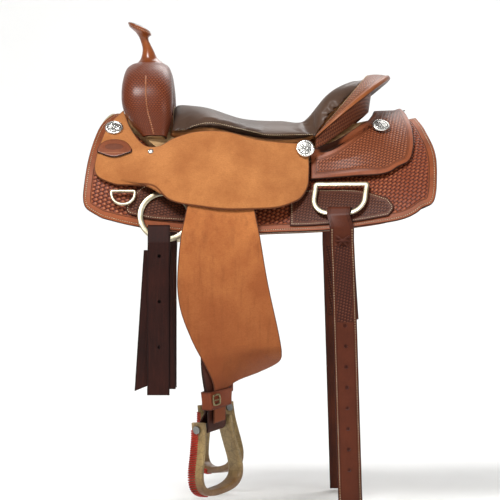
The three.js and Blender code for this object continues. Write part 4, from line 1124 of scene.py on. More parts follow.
def closed_band(high):
    face, deep = band_section(high)
    under = np.linspace(face[-1], [0.8, -deep * 0.8], 12)[1:]
    inner = np.linspace(under[-1], face[0], 5)[1:-1]
    return np.vstack([face, under, inner])


def back_wall(high):
    """The cantle back's section: a 3 mm leather from under the binding down to the tree's foot."""
    foot = -22 - 54 * high ** 0.8
    top = -(6 + 7.5 * high ** 0.5)
    drop = np.linspace(top, foot, 30)
    rear = 13 + (8 - 6 * high - 13) * drop / foot
    outer = np.stack([rear + 3.8, drop], -1)
    inner = np.stack([rear + 0.8, drop], -1)[::-1]
    lip = outer[-1] + [[-0.5, -0.6]]
    return np.vstack([outer, lip, inner])


def back_leather():
    hide = leather("cantle_back_leather", tint(104, 54, 28), tint(146, 82, 44), 0.4, coat=0.1)
    pattern = basket(hide, 0.0095, STAMP_TURN)
    # Painted shade in the stamp's gaps and a painted highlight on its tops.
    tone = stamped(hide, pattern, tint(46, 19, 10), tint(118, 60, 34), tint(172, 110, 72))
    hide.colour = tone
    hide.height = hide.height + pattern * 3.0
    hide.bump(hide.height, 0.5, 0.0008)
    return hide.done(hide.colour, hide.rough)


cantle_band("cantle_binding_leather", "cantle_binding", closed_band, 241, binding_leather())
cantle_band("cantle_back_leather", "cantle_back", back_wall, 161, back_leather())
t = np.sin(np.linspace(-0.97, 0.97, 300) * np.pi / 2)
rim_point, rim_out, rim_high = cantle_rim(t)
bound = rim_point + rim_out * (2.6 + 1.6 * rim_high[:, None]) + [0, 0, 1] * (0.9 + 0.3 * rim_high[:, None])
stitched("cantle_stitches", bound, np.tile([0.0, 0, 1], (300, 1)), "saddle", thread(), pitch=4.2, radius=0.5)


# Jockeys. The seat jockey is one broad tan panel with its rough side out, which covers the top of the skirt
# from the swell to the cantle. The rear jockey is basket-stamped, with a smooth rim. Both are screwed down
# with conchos, and a dark lacing joins the two rear jockeys along the ridge.
JOCKEY = 4


def locate(x, out, z):
    """Which angle and height over the back a point has: the reverse of on_back."""
    across, up = out + BACK_RADIUS * math.sin(slope(x)), z - ridge(x) + BACK_RADIUS * math.cos(slope(x))
    return [x, math.atan2(across, up), float(math.hypot(across, up) - BACK_RADIUS)]


def by_seat(x, drop, out):
    return locate(x, float(seat_half(x)) + out, float(seat_edge(x)) - drop)


jockey_top = [at_out(-282, 56, 29), at_out(-264, 104, 33), at_out(-238, 142, 42), at_out(-206, 152, 52),
              by_seat(-176, 16, 18), by_seat(-126, 14, 2), by_seat(-67, 14, -2), by_seat(0, 14, -2),
              locate(97, 146, 8)]
jockey_foot = [at_z(-305, -78, 28), at_z(-249, -79, 32), at_z(-212, -85, 42), at_z(-181, -108, 54),
               at_z(-108, -123, 59), at_z(-24, -127, 59), at_z(46, -121, 50), at_z(97, -100, 29)]
seat_jockey_at = rounded(patch(jockey_top, jockey_foot,
                               [jockey_top[0], at_z(-318, 30, 28), at_z(-335, -40, 28), jockey_foot[0]],
                               [jockey_top[-1], at_z(100, -40, 50), jockey_foot[-1]]),
                         ((0, 1, 0.06, 0.2), (1, 1, 0.06, 0.24)))
rear_top = [locate(103, 150, -3), locate(150, 161, 12), locate(198, 138, 42), locate(226, 92, 60),
            locate(236, 48, 73), locate(239, 3, 80)]
rear_foot = [at_z(103, -66, 31), at_z(189, -60, 35), at_z(250, -55, 31), at_z(288, -40, 27)]
rear_jockey_at = rounded(patch(rear_top, rear_foot, [rear_top[0], at_z(103, -30, 44), rear_foot[0]],
                               [rear_top[-1], at_out(280, 6, 31), at_out(298, 12, 30), at_z(313, 24, 28),
                                at_z(311, -8, 27), rear_foot[-1]]), ((1, 1, 0.24, 0.3),))


def jockey_leather():
    hide = rough_leather("jockey_rough_out", tint(190, 124, 70), tint(166, 102, 54), tint(118, 68, 35))
    burnish(hide, tint(112, 62, 32), 2.4)
    hide.bump(hide.height, 0.55, 0.0008)
    return hide.done(hide.colour, hide.rough)


def rear_jockey_leather():
    hide = leather("rear_jockey_leather", tint(112, 54, 30), tint(152, 84, 50), 0.4, coat=0.1)
    # Painted shade in the stamp's gaps and scored lines, and a painted highlight on its tops.
    stamp(hide, basket(hide, 0.0085, STAMP_TURN), 13, tint(44, 17, 9), tint(130, 68, 40), tint(190, 126, 88))
    score(hide, 11.5, 1.0, 2.0, 0.7)
    score(hide, 9.0, 0.8, 1.2, 0.5)
    burnish(hide, tint(52, 26, 16))
    hide.bump(hide.height, 0.5, 0.0008)
    return hide.done(hide.colour, hide.rough)


panel("seat_jockey", seat_jockey_at, JOCKEY, jockey_leather())
panel("rear_jockey", rear_jockey_at, JOCKEY, rear_jockey_leather(), pitch=2.0,
      relief=basket_relief(8.5, STAMP_TURN, 0.5, 13))


def lace_rings(line, off_axis, radius, flat=1.0):
    """Rings round a lace's middle line. Each is ten points round, square to the line, and flat times as
    high."""
    ahead = unit(np.gradient(line, axis=0))
    side = unit(np.cross(ahead, off_axis))
    up = np.cross(side, ahead)
    turn = np.arange(10) / 10 * 2 * np.pi
    return line[:, None] + radius * (np.cos(turn)[None, :, None] * side[:, None]
                                     + flat * np.sin(turn)[None, :, None] * up[:, None])


def spine_lace():
    """A thin dark thong that crosses from side to side as it goes back along the ridge."""
    t = np.linspace(0, 1, 140)
    x = 244 + 60 * t
    height = 35 - (x - 244) * 0.12
    p = on_back(np.stack([x, np.arcsin(BACK_RADIUS * np.sin(slope(x)) / (BACK_RADIUS + height)), height],
                         -1))
    line = p * [1, 0, 1] + np.stack([t * 0, 2.2 * np.sin(t * 30), 1.0 * np.cos(t * 30)], -1)
    rings = lace_rings(line, [0, 0, 1.0], 1.7, 0.7)
    hide = leather("lace_leather", tint(40, 22, 18), tint(66, 38, 30), 0.45)
    hide.bump(hide.height, 0.3, 0.0004)
    closed_stack("spine_lace", "back_lacing", rings, hide.done(hide.colour, hide.rough))


spine_lace()

# Latigo keepers. A half-moon of smooth chestnut leather on the front of each jockey, with a plain oval
# stamped in it and a crease below. The loose end of the latigo is put through it.
def height_on(at, thick, x, z):
    """The height over the back of a panel's outer face, where that face has a given x and z."""
    u, v = np.meshgrid(np.linspace(0, 1, 241), np.linspace(0, 1, 121), indexing="ij")
    p = at(u, v) + [0, 0, thick]
    spot = on_back(p)
    k = np.argmin((spot[..., 0] - x) ** 2 + (spot[..., 2] - z) ** 2)
    return float(p.reshape(-1, 3)[k, 2])


def keeper_point(x, z):
    return at_z(x, z, height_on(seat_jockey_at, JOCKEY, x, z) + 1)


def keeper_leather():
    hide = leather("keeper_leather", tint(106, 52, 28), tint(146, 78, 44), 0.35, coat=0.3)
    split = hide.node("ShaderNodeSeparateXYZ", {}, hide.place())
    x, z = split + 0.296, Wire(hide, split.socket.node.outputs[2]) - 0.003
    oval = ((x / 0.020) ** 2.0 + (z / 0.0065) ** 2.0) ** 0.5
    inside = hide.span(oval, 0.92, 0.98, 1.0, 0.0)
    ring = hide.span(abs(oval - 1.0), 0.05, 0.12, 1.0, 0.0)
    fill = hide.noise(480.0, 2.0, 0.7)
    hide.colour = hide.mix(inside * 0.6, hide.colour, hide.mix(fill, tint(58, 26, 16), tint(104, 56, 36)))
    crease = hide.span(abs(z + 0.0125), 0.0003, 0.0009, 1.0, 0.0)
    hide.colour = hide.mix(crease * 0.5, hide.colour, tint(190, 132, 92))
    hide.height = hide.height + fill * inside * 1.6 - ring * 2.0 - crease * 2.0
    burnish(hide, tint(48, 22, 14))
    hide.bump(hide.height, 0.5, 0.0008)
    return hide.done(hide.colour, hide.rough)


keeper_top = [keeper_point(x, z) for x, z in ((-331, -4), (-322, 9), (-296, 17), (-270, 10), (-259, -4))]
keeper_foot = [keeper_point(x, z) for x, z in ((-330, -10), (-296, -20), (-260, -10))]
keeper_at = patch(keeper_top, keeper_foot, [keeper_top[0], keeper_foot[0]],
                  [keeper_top[-1], keeper_foot[-1]])
panel("latigo_keeper", keeper_at, 4, keeper_leather(), pitch=1.5)


# Conchos and screws. Domed silver discs with a rope edge and a cut flower, three on each side, that cover
# the screws through the jockeys into the tree. One small slotted screw stands bare behind the swell.
def node_points(node):
    """A CAD node's corners, in millimetres."""
    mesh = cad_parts[node].data
    points = np.empty(len(mesh.vertices) * 3)
    mesh.vertices.foreach_get("co", points)
    return np.unique(np.round(points.reshape(-1, 3) * 1000, 3), axis=0)


def node_frame(node, side):
    """A CAD node's middle and its own directions, longest first: tailward, downward and out of the
    saddle."""
    points = node_points(node)
    centre = points.mean(0)
    axes = np.linalg.svd(points - centre)[2]
    signs = [np.sign(axes[0, 0]) or 1, -np.sign(axes[1, 2]) or 1, np.sign(axes[2, 1]) * side or 1]
    return centre, axes * np.array(signs)[:, None]


def disc(name, node, body, side, rings, sides, finish, height):
    """A turned disc closed at its back. Its front is height(r, turn) over its base, for r in millimetres."""
    points = node_points(node)
    centre, (_, _, out) = node_frame(node, side)
    first = np.cross(out, [0, 0, 1.0])
    first /= np.linalg.norm(first)
    second = np.cross(out, first)
    base = centre + out * ((points - centre) @ out).min()
    r, turn = np.meshgrid(rings, np.arange(sides) / sides * 2 * np.pi, indexing="ij")
    high = height(r, turn)
    front = (base + high[..., None] * out + (r * np.cos(turn))[..., None] * first
             + (r * np.sin(turn))[..., None] * second)
    back = base + (front[-1] - base) - high[-1][:, None] * out + 0.02 * out
    rows = np.concatenate([front, back[None], (base + (back - base) * 0.5)[None]])
    return closed_stack(name, node, rows, finish, body)


def silver():
    """Bright polished silver with black left in the cuts."""
    metal = Finish("concho_silver", Metallic=1.0)
    cut = metal.mark("cut")
    cloud = metal.noise(160.0, 4.0, 0.6)
    metal.bump(metal.noise(2400.0, 2.0, 0.6), 0.1, 0.0002)
    tone = metal.mix(cloud, tint(212, 208, 200), tint(244, 243, 238))
    tone = metal.mix(metal.span(cut, 0.25, 0.8, 0.0, 0.9), tone, tint(58, 54, 48))
    return metal.done(tone, 0.16 + 0.14 * cloud)


def flower(r, turn):
    """How deep the flower is cut, 0 to 1: eight petals by |cos(4 turn)|, a centre ring, and rays outside."""
    petal = 5.2 + 5.6 * np.abs(np.cos(4 * turn)) ** 0.8
    outlines = np.exp(-((r - petal) / 0.45) ** 2) + np.exp(-((r - 2.6) / 0.35) ** 2)
    outlines += np.exp(-((r - 13.2) / 0.4) ** 2)
    rays = (np.abs(np.sin(24 * turn)) < 0.35) * ((r > petal + 1.0) & (r < 12.4))
    veins = (np.abs(np.sin(8 * turn)) < 0.1) * ((r > 3.4) & (r < petal - 1.0))
    return np.clip(outlines + 0.7 * rays + 0.7 * veins, 0, 1)


def rope(r, turn):
    """The rope edge between r 14.5 and 18.8: round strands that lean, as |sin(26 turn + r)|."""
    inside = np.clip((r - 14.3) / 0.5, 0, 1)
    return inside * np.abs(np.sin(26 * turn + 0.55 * r))


def concho_face(r, turn):
    dome = 1.6 + 3.0 * np.sqrt(np.clip(1 - (r / 19.4) ** 2, 0, 1))
    roll = 0.9 * np.sqrt(np.clip(1 - ((r - 16.6) / 2.5) ** 2, 0, 1)) * (r > 14.1)
    edge = np.clip((18.9 - r) / 0.5, 0, 1)
    return (dome + roll * (0.55 + 0.45 * rope(r, turn)) - 0.4 * flower(r, turn)) * (0.35 + 0.65 * edge)


def screw_face(r, turn):
    slot = (np.abs(r * np.sin(turn)) < 0.6) * (r < 4.6)
    return 0.9 + 2.2 * np.sqrt(np.clip(1 - (r / 6.05) ** 2, 0, 1)) - 0.9 * slot


concho_silver = silver()
concho_rings = np.concatenate([np.linspace(0.3, 13.8, 46), np.linspace(14.1, 18.8, 16), [18.95]])
for word, side in SIDES:
    for place in ("front", "middle", "rear"):
        node = f"{place}_concho_{word}"
        disc_made = disc(f"{node}_silver", node, "saddle", side, concho_rings, 208, concho_silver,
                         concho_face)
        r, turn = np.meshgrid(concho_rings, np.arange(208) / 208 * 2 * np.pi, indexing="ij")
        gaps = np.clip(flower(r, turn) + (r > 14.4) * (1 - np.clip(rope(r, turn) * 2.5, 0, 1)) * 0.8, 0, 1)
        cut = np.zeros(len(disc_made.data.vertices), np.float32)
        cut[:gaps.size] = gaps.ravel()
        disc_made.data.attributes.new("cut", "FLOAT", "POINT").data.foreach_set("value", cut)
    disc(f"jockey_screw_{word}_silver", f"jockey_screw_{word}", "saddle", side,
         np.linspace(0.2, 6, 24), 48, concho_silver, screw_face)


# Rings and dees. Cast metal with a cream-silver finish: a round rigging ring and a small dee in front, and a
# wide flat dee behind. Each hangs free from the rigging and can lift away from the skirt.
def nickel():
    metal = Finish("nickel_silver", Metallic=1.0)
    cloud, pit = metal.noise(70.0, 4.0, 0.6), metal.noise(1100.0, 3.0, 0.65)
    metal.bump(pit, 0.12, 0.0003)
    tone = metal.mix(metal.span(cloud, 0.3, 0.7), tint(172, 160, 132), tint(204, 194, 170))
    tone = metal.mix(metal.span(pit, 0.3, 0.42, 0.35, 0.0), tone, tint(120, 110, 88))
    return metal.done(tone, 0.24 + 0.22 * cloud)


def bar_loop(name, node, body, path, square, out, wide, thick, finish, corner=4.0, sides=24, closed=True):
    """A bar of rounded oblong section, |a|^k + |b|^k = 1, carried round a path. square points to its edge
    and out from its face."""
    turn = np.arange(sides) / sides * 2 * np.pi
    size = (np.abs(np.cos(turn)) ** corner + np.abs(np.sin(turn)) ** corner) ** (-1 / corner)
    a, b = np.cos(turn) * size * wide / 2, np.sin(turn) * size * thick / 2
    rings = path[:, None] + a[None, :, None] * square[:, None] + b[None, :, None] * out
    if not closed:
        return closed_stack(name, node, rings, finish, body)

    faces = grid_quads(len(path), sides, round_rows=True, round_cols=True)
    piece = new_piece(name, rings.reshape(-1, 3), faces, body, finish)
    if node:
        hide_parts(node)
    return piece


def ring_path(centre, first, second, radius, count=160):
    turn = np.arange(count) / count * 2 * np.pi
    square = np.cos(turn)[:, None] * first + np.sin(turn)[:, None] * second
    return centre + radius * square, square


def dee_path(centre, along, down, width, length, band, corner, count=220):
    """The middle line of a dee: a straight bar on top, and a foot whose corners are quarter ovals."""
    half, foot = (width - band) / 2, length - band
    deep = min(corner * 1.05, foot * 0.92)
    wide = min(corner, half)
    turn = np.linspace(0, np.pi / 2, 40)
    small = 2.2
    tops = np.linspace(0, np.pi / 2, 8)
    flat_line = np.vstack([
        np.stack([-half + small * (1 - np.sin(tops)), small * (1 - np.cos(tops))], -1),
        np.stack([-half + wide * (1 - np.cos(turn)), foot - deep + deep * np.sin(turn)], -1),
        np.stack([half - wide * (1 - np.sin(turn)), foot - deep + deep * np.cos(turn)], -1),
        np.stack([half - small * (1 - np.cos(tops)), small * (1 - np.sin(tops))], -1)])
    closed = np.vstack([flat_line, flat_line[:1]])
    run = lengths(closed)
    stops = np.linspace(0, run[-1], count, endpoint=False)
    line = spread_along(stops, run, closed)
    ahead = np.roll(line, -1, 0) - np.roll(line, 1, 0)
    square = np.stack([ahead[:, 1], -ahead[:, 0]], -1) / np.linalg.norm(ahead, axis=1, keepdims=True)
    top = centre - down * (length - band) / 2

    def place(pairs):
        """Flat pairs set on the piece."""
        return pairs[:, :1] * along + pairs[:, 1:] * down

    return top + place(line), place(square)


nickel_finish = nickel()
for word, side in SIDES:
    centre, (first, second, out) = node_frame(f"front_ring_{word}", side)
    path, square = ring_path(centre, first, second, 50)
    bar_loop(f"front_ring_{word}_cast", f"front_ring_{word}", f"front_ring_{word}", path, square, out,
             11.8, 4.6,
             nickel_finish, corner=2.6)
    for name, width, band, corner in (("rear_dee", 115, 10.5, 34), ("breast_dee", 53, 6, 22)):
        node = f"{name}_{word}"
        centre, (along, down, out) = node_frame(node, side)
        reach = (node_points(node) - centre) @ down
        middle = centre + down * (reach.max() + reach.min()) / 2
        path, square = dee_path(middle, along, down, width, reach.max() - reach.min(), band, corner)
        bar_loop(f"{node}_cast", node, node, path, square, out, band, 4.4 if name == "rear_dee" else 5.6,
                 nickel_finish, corner=2.8)


# Latigo and off billet. Dark burgundy latigo leather, 45 mm wide and soft, folded through the front rings.
# The near one has a long loose end behind it, cut slantwise; both have punched holes.
RING_X, RING_Z, RING_LIFT, RING_THICK, RING_OUTER = -190, -139, 31, 4, 56
STRAP_THICK, LATIGO_WIDE, HOLE_RADIUS = 3.2, 45, 3.5


def resting(x, z, lift, side):
    """Where something flat rests against the saddle: its middle, and the ways along, down and out of it."""

    def spot(a, b):
        """A point on the near or off side, lifted off the saddle."""
        return on_back(np.array(at_z(a, b, lift))) * [1, side, 1]

    along = spot(x + 30, z) - spot(x - 30, z)
    along /= np.linalg.norm(along)
    down = spot(x, z - 30) - spot(x, z + 30)
    down /= np.linalg.norm(down)
    out = np.cross(along, down)
    out *= np.sign(out[1] * side) / np.linalg.norm(out)
    down = down - (down @ along) * along
    return spot(x, z), along, down / np.linalg.norm(down), out


def over_bar(rest, shift, top, low, play=0.8):
    """The strap's middle line where it folds over a bar, whose edges are top and low down from the
    centre."""
    centre, along, down, out = rest
    off = RING_THICK / 2 + play + STRAP_THICK / 2
    turn = np.linspace(-np.pi / 2, np.pi / 2, 15)
    falls = np.concatenate([[low + 4, (low + top) / 2], top - (off + 0.6) * np.cos(turn),
                            [(low + top) / 2, low + 4]])
    aways = np.concatenate([[-off, -off], off * np.sin(turn), [off, off]])
    return centre + shift * along + falls[:, None] * down + aways[:, None] * out


def strap_shell(path, across, wide, thick, pitch=2.6, slant=0.0):
    """A strap's section carried along a path at even steps: a flat oblong with rounded edges. Returns
    rings of points, each ring's run along the strap, and each point's place across it and on which face it
    is."""
    run = lengths(path)
    stops = np.linspace(0, run[-1], int(run[-1] / pitch))
    line, side = (spread_along(stops, run, values)
                  for values in (path, across))
    side = unit(side)
    ahead = np.gradient(line, axis=0)
    normal = unit(np.cross(ahead, side))
    half = thick / 2
    bend = np.linspace(-np.pi / 2, np.pi / 2, 7)
    middle = np.linspace(-1, 1, 16)[1:-1] * (wide / 2 - half)
    right = np.stack([wide / 2 - half + half * np.cos(bend), half * np.sin(bend)], -1)
    section = np.vstack([right, np.stack([middle[::-1], middle * 0 + half], -1), right[::-1] * [-1, 1],
                         np.stack([middle, middle * 0 - half], -1)])
    rings = (line[:, None] + section[None, :, :1] * side[:, None] + section[None, :, 1:] * normal[:, None])
    rings += slant * (stops / run[-1])[:, None, None] ** 6 * section[None, :, :1] * ahead[:, None] / pitch
    return rings, stops, section


def strap_piece(name, node, body, path, across, wide, thick, finish, holes=(), slant=0.0):
    """A strap with its attributes: rim, in from its side edges, and its layout in metres. Holes are punched
    right through by a round tool, squarely to the strap's face."""
    rings, stops, section = strap_shell(path, across, wide, thick, slant=slant)
    rows, count = rings.shape[:2]
    points, faces = drawn_together(rings)
    rim = np.append(np.tile(wide / 2 - np.abs(section[:, 0]), rows), [wide / 2] * 2)
    layout = np.stack([np.tile(section[:, 0], rows), np.repeat(stops, count)], -1)
    layout = np.vstack([layout, [0, stops[0]], [0, stops[-1]]]) / 1000
    piece = new_piece(name, points, faces, body, finish, {"rim": rim}, layout)
    if len(holes):
        punch(piece, holes)
    if node:
        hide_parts(node)
    return piece


PUNCH_SIDES, PUNCH_REACH = 20, 7


def punch(piece, holes):
    """Cuts round holes through a strap: each is a centre, the tool's direction and its radius."""
    tools = []
    turn = np.arange(PUNCH_SIDES) / PUNCH_SIDES * 2 * np.pi
    for centre, way, radius in holes:
        way = np.array(way, float) / np.linalg.norm(way)
        first = np.cross(way, [0, 0, 1.0])
        first /= np.linalg.norm(first)
        second = np.cross(way, first)
        rim = radius * (np.cos(turn)[:, None] * first + np.sin(turn)[:, None] * second)
        tools.append(np.stack([centre + rim - PUNCH_REACH * way, centre + rim + PUNCH_REACH * way]))
    mesh = bpy.data.meshes.new("punch")
    faces = []
    for k in range(len(tools)):
        first, top, end = (2 * k * PUNCH_SIDES + n * PUNCH_SIDES for n in range(3))
        faces += grid_quads(2, PUNCH_SIDES, first, round_cols=True).tolist()
        faces += [list(range(first, top)), list(range(end - 1, top - 1, -1))]
    mesh.from_pydata((np.concatenate(tools).reshape(-1, 3) / 1000).tolist(), [], faces)
    face_out(mesh)
    tool = bpy.data.objects.new("punch", mesh)
    bpy.context.collection.objects.link(tool)
    cut = piece.modifiers.new("punch", "BOOLEAN")
    cut.operation, cut.solver, cut.object = "DIFFERENCE", "EXACT", tool
    result = bpy.data.meshes.new_from_object(piece.evaluated_get(bpy.context.evaluated_depsgraph_get()))
    piece.modifiers.clear()
    finish = piece.data.materials[0]
    piece.data = result
    result.materials.clear()
    result.materials.append(finish)
    bpy.data.objects.remove(tool)
    edges = bmesh.new()
    edges.from_mesh(result)
    for edge in edges.edges:
        if len(edge.link_faces) == 2 and edge.calc_face_angle(0) > 0.9:
            edge.smooth = False
    edges.to_mesh(result)
    edges.free()


def latigo_leather():
    hide = leather("latigo_leather", tint(30, 11, 8), tint(50, 20, 13), 0.5, coat=0.03)
    pull = hide.node("ShaderNodeMapping", {}, hide.layout(), (0, 0, 0), (0, 0, 0), (120, 7, 1))
    streak = hide.noise(2.0, 4.0, 0.6, pull)
    hide.colour = hide.mix(hide.span(streak, 0.5, 0.72, 0.0, 0.35), hide.colour, tint(68, 30, 20))
    # The scored line is darkened as painted shade.
    score(hide, 2.6, 0.7, 1.0, 0.45, tint(24, 10, 8))
    burnish(hide, tint(30, 14, 12))
    hide.height = hide.height + streak * 1.4
    hide.bump(hide.height, 0.45, 0.0007)
    return hide.done(hide.colour, hide.rough)


latigo_hide = latigo_leather()
straight = np.array([1.0, 0, 0])
strap_x, strap_in, strap_out, strap_drop = RING_X - 13, 226.4, 230.8, -240
for word, side in SIDES:
    near = word == "near"
    rest = resting(RING_X, RING_Z, RING_LIFT, side)
    bend = over_bar(rest, -13, 26, RING_OUTER)
    slip = 12 if near else 0
    ends = (-485, -497) if near else (-440, -508)

    def at(x, out, z):
        """One point of the strap, this far out from the middle of the saddle."""
        return np.array([[x, side * out, z]], float)

    path = np.vstack([at(strap_x + slip, strap_in, ends[0]),
                      at(strap_x + slip / 2, strap_in, strap_drop), bend,
                      at(strap_x, strap_out, strap_drop), at(strap_x, strap_out, ends[1])])
    across = np.vstack([straight, straight, np.tile(rest[1], (len(bend), 1)), straight, straight])
    body, node = ("latigo", "latigo") if near else ("off_billet", "off_billet")
    heights = (-219, -310, -401) if near else (-330, -380, -430, -480)
    holes = [(np.array([strap_x + 2, side * 228.6, z]), [0, 1, 0], HOLE_RADIUS) for z in heights]
    strap_piece(f"{node}_strap", node, body, path, across, LATIGO_WIDE, STRAP_THICK, latigo_hide, holes)
    if near:
        loose = np.vstack([at(-210, 225.4, -206), at(-213, 223.4, -250), at(-228, 222.2, -480)])
        strap_piece("latigo_loose_end", None, body, loose, np.tile([1, 0, 0.06], (3, 1)), LATIGO_WIDE,
                    STRAP_THICK, latigo_hide, slant=-0.35)

# Rear billets. Stiff chestnut straps, 48 mm wide, folded over the rear dees and tied with a leather lace.
# Each has a stamped panel, two rows of cream stitching and a line of eight holes.
BILLET_WIDE, BILLET_FOOT, BILLET_OUT, BILLET_IN = 48, -731, 254.6, 250


def billet_leather():
    hide = leather("billet_leather", tint(60, 25, 13), tint(92, 43, 24), 0.42, coat=0.05)
    split = hide.node("ShaderNodeSeparateXYZ", {}, hide.place())
    z = Wire(hide, split.socket.node.outputs[2])
    panel_part = hide.span(z, -0.352, -0.349) * hide.span(z, -0.1985, -0.1955, 1.0, 0.0)
    inside = hide.span(hide.mark("rim"), 7.8, 8.6) * panel_part
    pattern = basket(hide, 0.0078, STAMP_TURN)
    # Painted shade in the stamp's gaps and a painted highlight on its tops.
    tone = stamped(hide, pattern, tint(22, 8, 5), tint(74, 32, 18), tint(136, 80, 54))
    hide.colour = hide.mix(inside, hide.colour, tone)
    hide.height = hide.height + pattern * inside * 3.0
    # The scored lines are darkened as painted shade.
    score(hide, 4.0, 1.0, 1.2, 0.5, tint(34, 14, 10))
    score(hide, 7.2, 0.7, 1.0, 0.5, tint(34, 14, 10))
    burnish(hide, tint(40, 18, 12))
    hide.bump(hide.height, 0.5, 0.0008)
    return hide.done(hide.colour, hide.rough)


def thong(name, path, radius, body, finish):
    """A round leather thong along a path, closed at both ends."""
    t = np.linspace(0, 1, 16 * len(path))
    line = smooth_line(path, t)
    rings = lace_rings(line, [0.13, 0.31, 0.94], radius)
    return closed_stack(name, None, rings, finish, body)


billet_hide = billet_leather()
lace_hide = leather("billet_lace", tint(54, 24, 18), tint(92, 46, 32), 0.4)
lace_hide.bump(lace_hide.height, 0.4, 0.0005)
lace_finish = lace_hide.done(lace_hide.colour, lace_hide.rough)
for word, side in SIDES:
    node = f"rear_billet_{word}"
    centre, along, down, out = resting(159, -103.5, 36.5, side)
    length = 67 / -down[2]
    bar = centre - down * length / 2
    bend = over_bar((bar, along, down, out), 4, length - 10.5, length, 2.2)

    def over(lift):
        """A point over the dee, lifted off the saddle."""
        return (on_back(np.array(at_z(163, -162, lift))) * [1, side, 1])[None]

    def at(x, reach, z):
        """One point of the strap, this far out from the middle of the saddle."""
        return np.array([[x, side * reach, z]], float)

    path = np.vstack([at(172, BILLET_IN, -345), at(165, BILLET_IN, -235), at(163, 247, -190), over(32.4),
                      bend,
                      over(39), at(163, 252, -190), at(165, BILLET_OUT, -235),
                      at(180, BILLET_OUT, BILLET_FOOT)])
    across = np.vstack([np.tile(straight, (4, 1)), np.tile(along, (len(bend), 1)),
                        np.tile(straight, (4, 1))])
    holes = [(np.array([168.5 + i * 1.25, side * BILLET_OUT, -357.0 - i * 41]), [0, 1, 0], HOLE_RADIUS)
             for i in range(8)]
    strap_piece(f"{node}_strap", node, node, path, across, BILLET_WIDE, STRAP_THICK, billet_hide, holes)
    front = path[-4:]
    run = np.linspace(0, 1, 260)
    line = np.stack([np.interp(run * (len(front) - 1), np.arange(4), front[:, k]) for k in range(3)], -1)
    face = np.tile([0.0, side, 0], (len(run), 1))
    for edge in (-1, 1):
        row = line + [edge * (BILLET_WIDE / 2 - 4.0), side * (STRAP_THICK / 2), 0]
        stitched(f"{node}_stitches_{'front' if edge < 0 else 'back'}", row[8:], face[8:], node, thread(),
                 5.0)
    knot = np.array([164, side * (BILLET_OUT - 0.5), -188.0])
    for k, (start, end) in enumerate((((-13, 8), (9, -9)), ((13, 8), (-9, -9)), ((-14, -1), (14, -1)))):
        shape = [(start[0], -1.6, start[1]), (start[0] * 0.7, 2.6, start[1] * 0.8), (0, 4.6 + k * 1.5, 0),
                 (end[0] * 0.7, 2.6, end[1] * 0.8), (end[0], -1.6, end[1])]
        thong(f"{node}_lace_{k}", knot + np.array(shape) * [1, side, 1], 2.3, node, lace_finish)


# Fenders. Broad tan leathers, rough side out and darker low down, which hang from under the seat jockeys and
# narrow to the stirrups. Behind each one the stirrup leather goes round the stirrup's bolt, and a hobble
# strap with a dull brass buckle holds both together. All of it turns a quarter forward on its way down.
FENDER_LIFT, FENDER_THICK, FENDER_TOP, BREAK_Z, SETTLE = 7, 3.5, -98, -140, 62
LEATHER_X, LEATHER_WIDE, LEATHER_LIFT, LEATHER_THICK, LEATHER_TOP, LEATHER_GAP = -88, 60, 46.2, 3.5, -4, 1.4
TURN_ANGLE, TURN_TILT, TURN_FROM, TURN_TO, TURN_INSET = 54, 8, -395, -508, 8
BOLT_Z, SLEEVE = -556, 8
HOBBLE_TOP, HOBBLE_FOOT, HOBBLE_HALF, HOBBLE_THICK, HOBBLE_IN = -484, -520, 33, 3, -7


def drape(x, z, lift):
    """How far out a leather lies that rests on the skirt and falls free below it: the back's own shape down
    to the break, then a settling run, 1 - exp((z - break) / settle), along the slope it left with."""
    low = np.maximum(z, BREAK_Z)
    phi = np.arccos((low - ridge(x) + BACK_RADIUS * np.cos(slope(x))) / (BACK_RADIUS + lift))
    out = BACK_RADIUS * (np.sin(phi) - np.sin(slope(x))) + lift * np.sin(phi)
    return out + SETTLE * (1 - np.exp(np.minimum(0, z - BREAK_Z) / SETTLE)) / np.tan(phi)


def hang(across, off, z, side):
    """A point of the hanging leathers, across from their middle, off their inner face and at a height. From
    one height to another it turns about the vertical by an eased share 3 t^2 - 2 t^3 of the whole turn."""
    eased = 1 - smooth(z, TURN_TO, TURN_FROM)
    turn, rise = math.radians(TURN_ANGLE) * eased, math.tan(math.radians(TURN_TILT)) * eased
    base = drape(LEATHER_X + across * (1 - eased), z, LEATHER_LIFT) - TURN_INSET * eased
    x = LEATHER_X + across * np.cos(turn) + off * np.sin(turn)
    out = base - across * np.sin(turn) + off * np.cos(turn)
    return np.stack([x, side * out, z + across * rise], -1)


fender_front = line_of([[98, -142], [140, -150], [180, -158], [247, -164], [290, -164], [335, -156],
                        [386, -136],
                        [432, -114], [475, -102], [500, -106], [549, -107]])
fender_back = line_of([[98, -16], [150, -6], [180, 0], [274, 16], [366, 36], [411, 43], [440, 38], [462, 8],
                       [473, -34], [484, -60], [500, -67], [549, -69]])


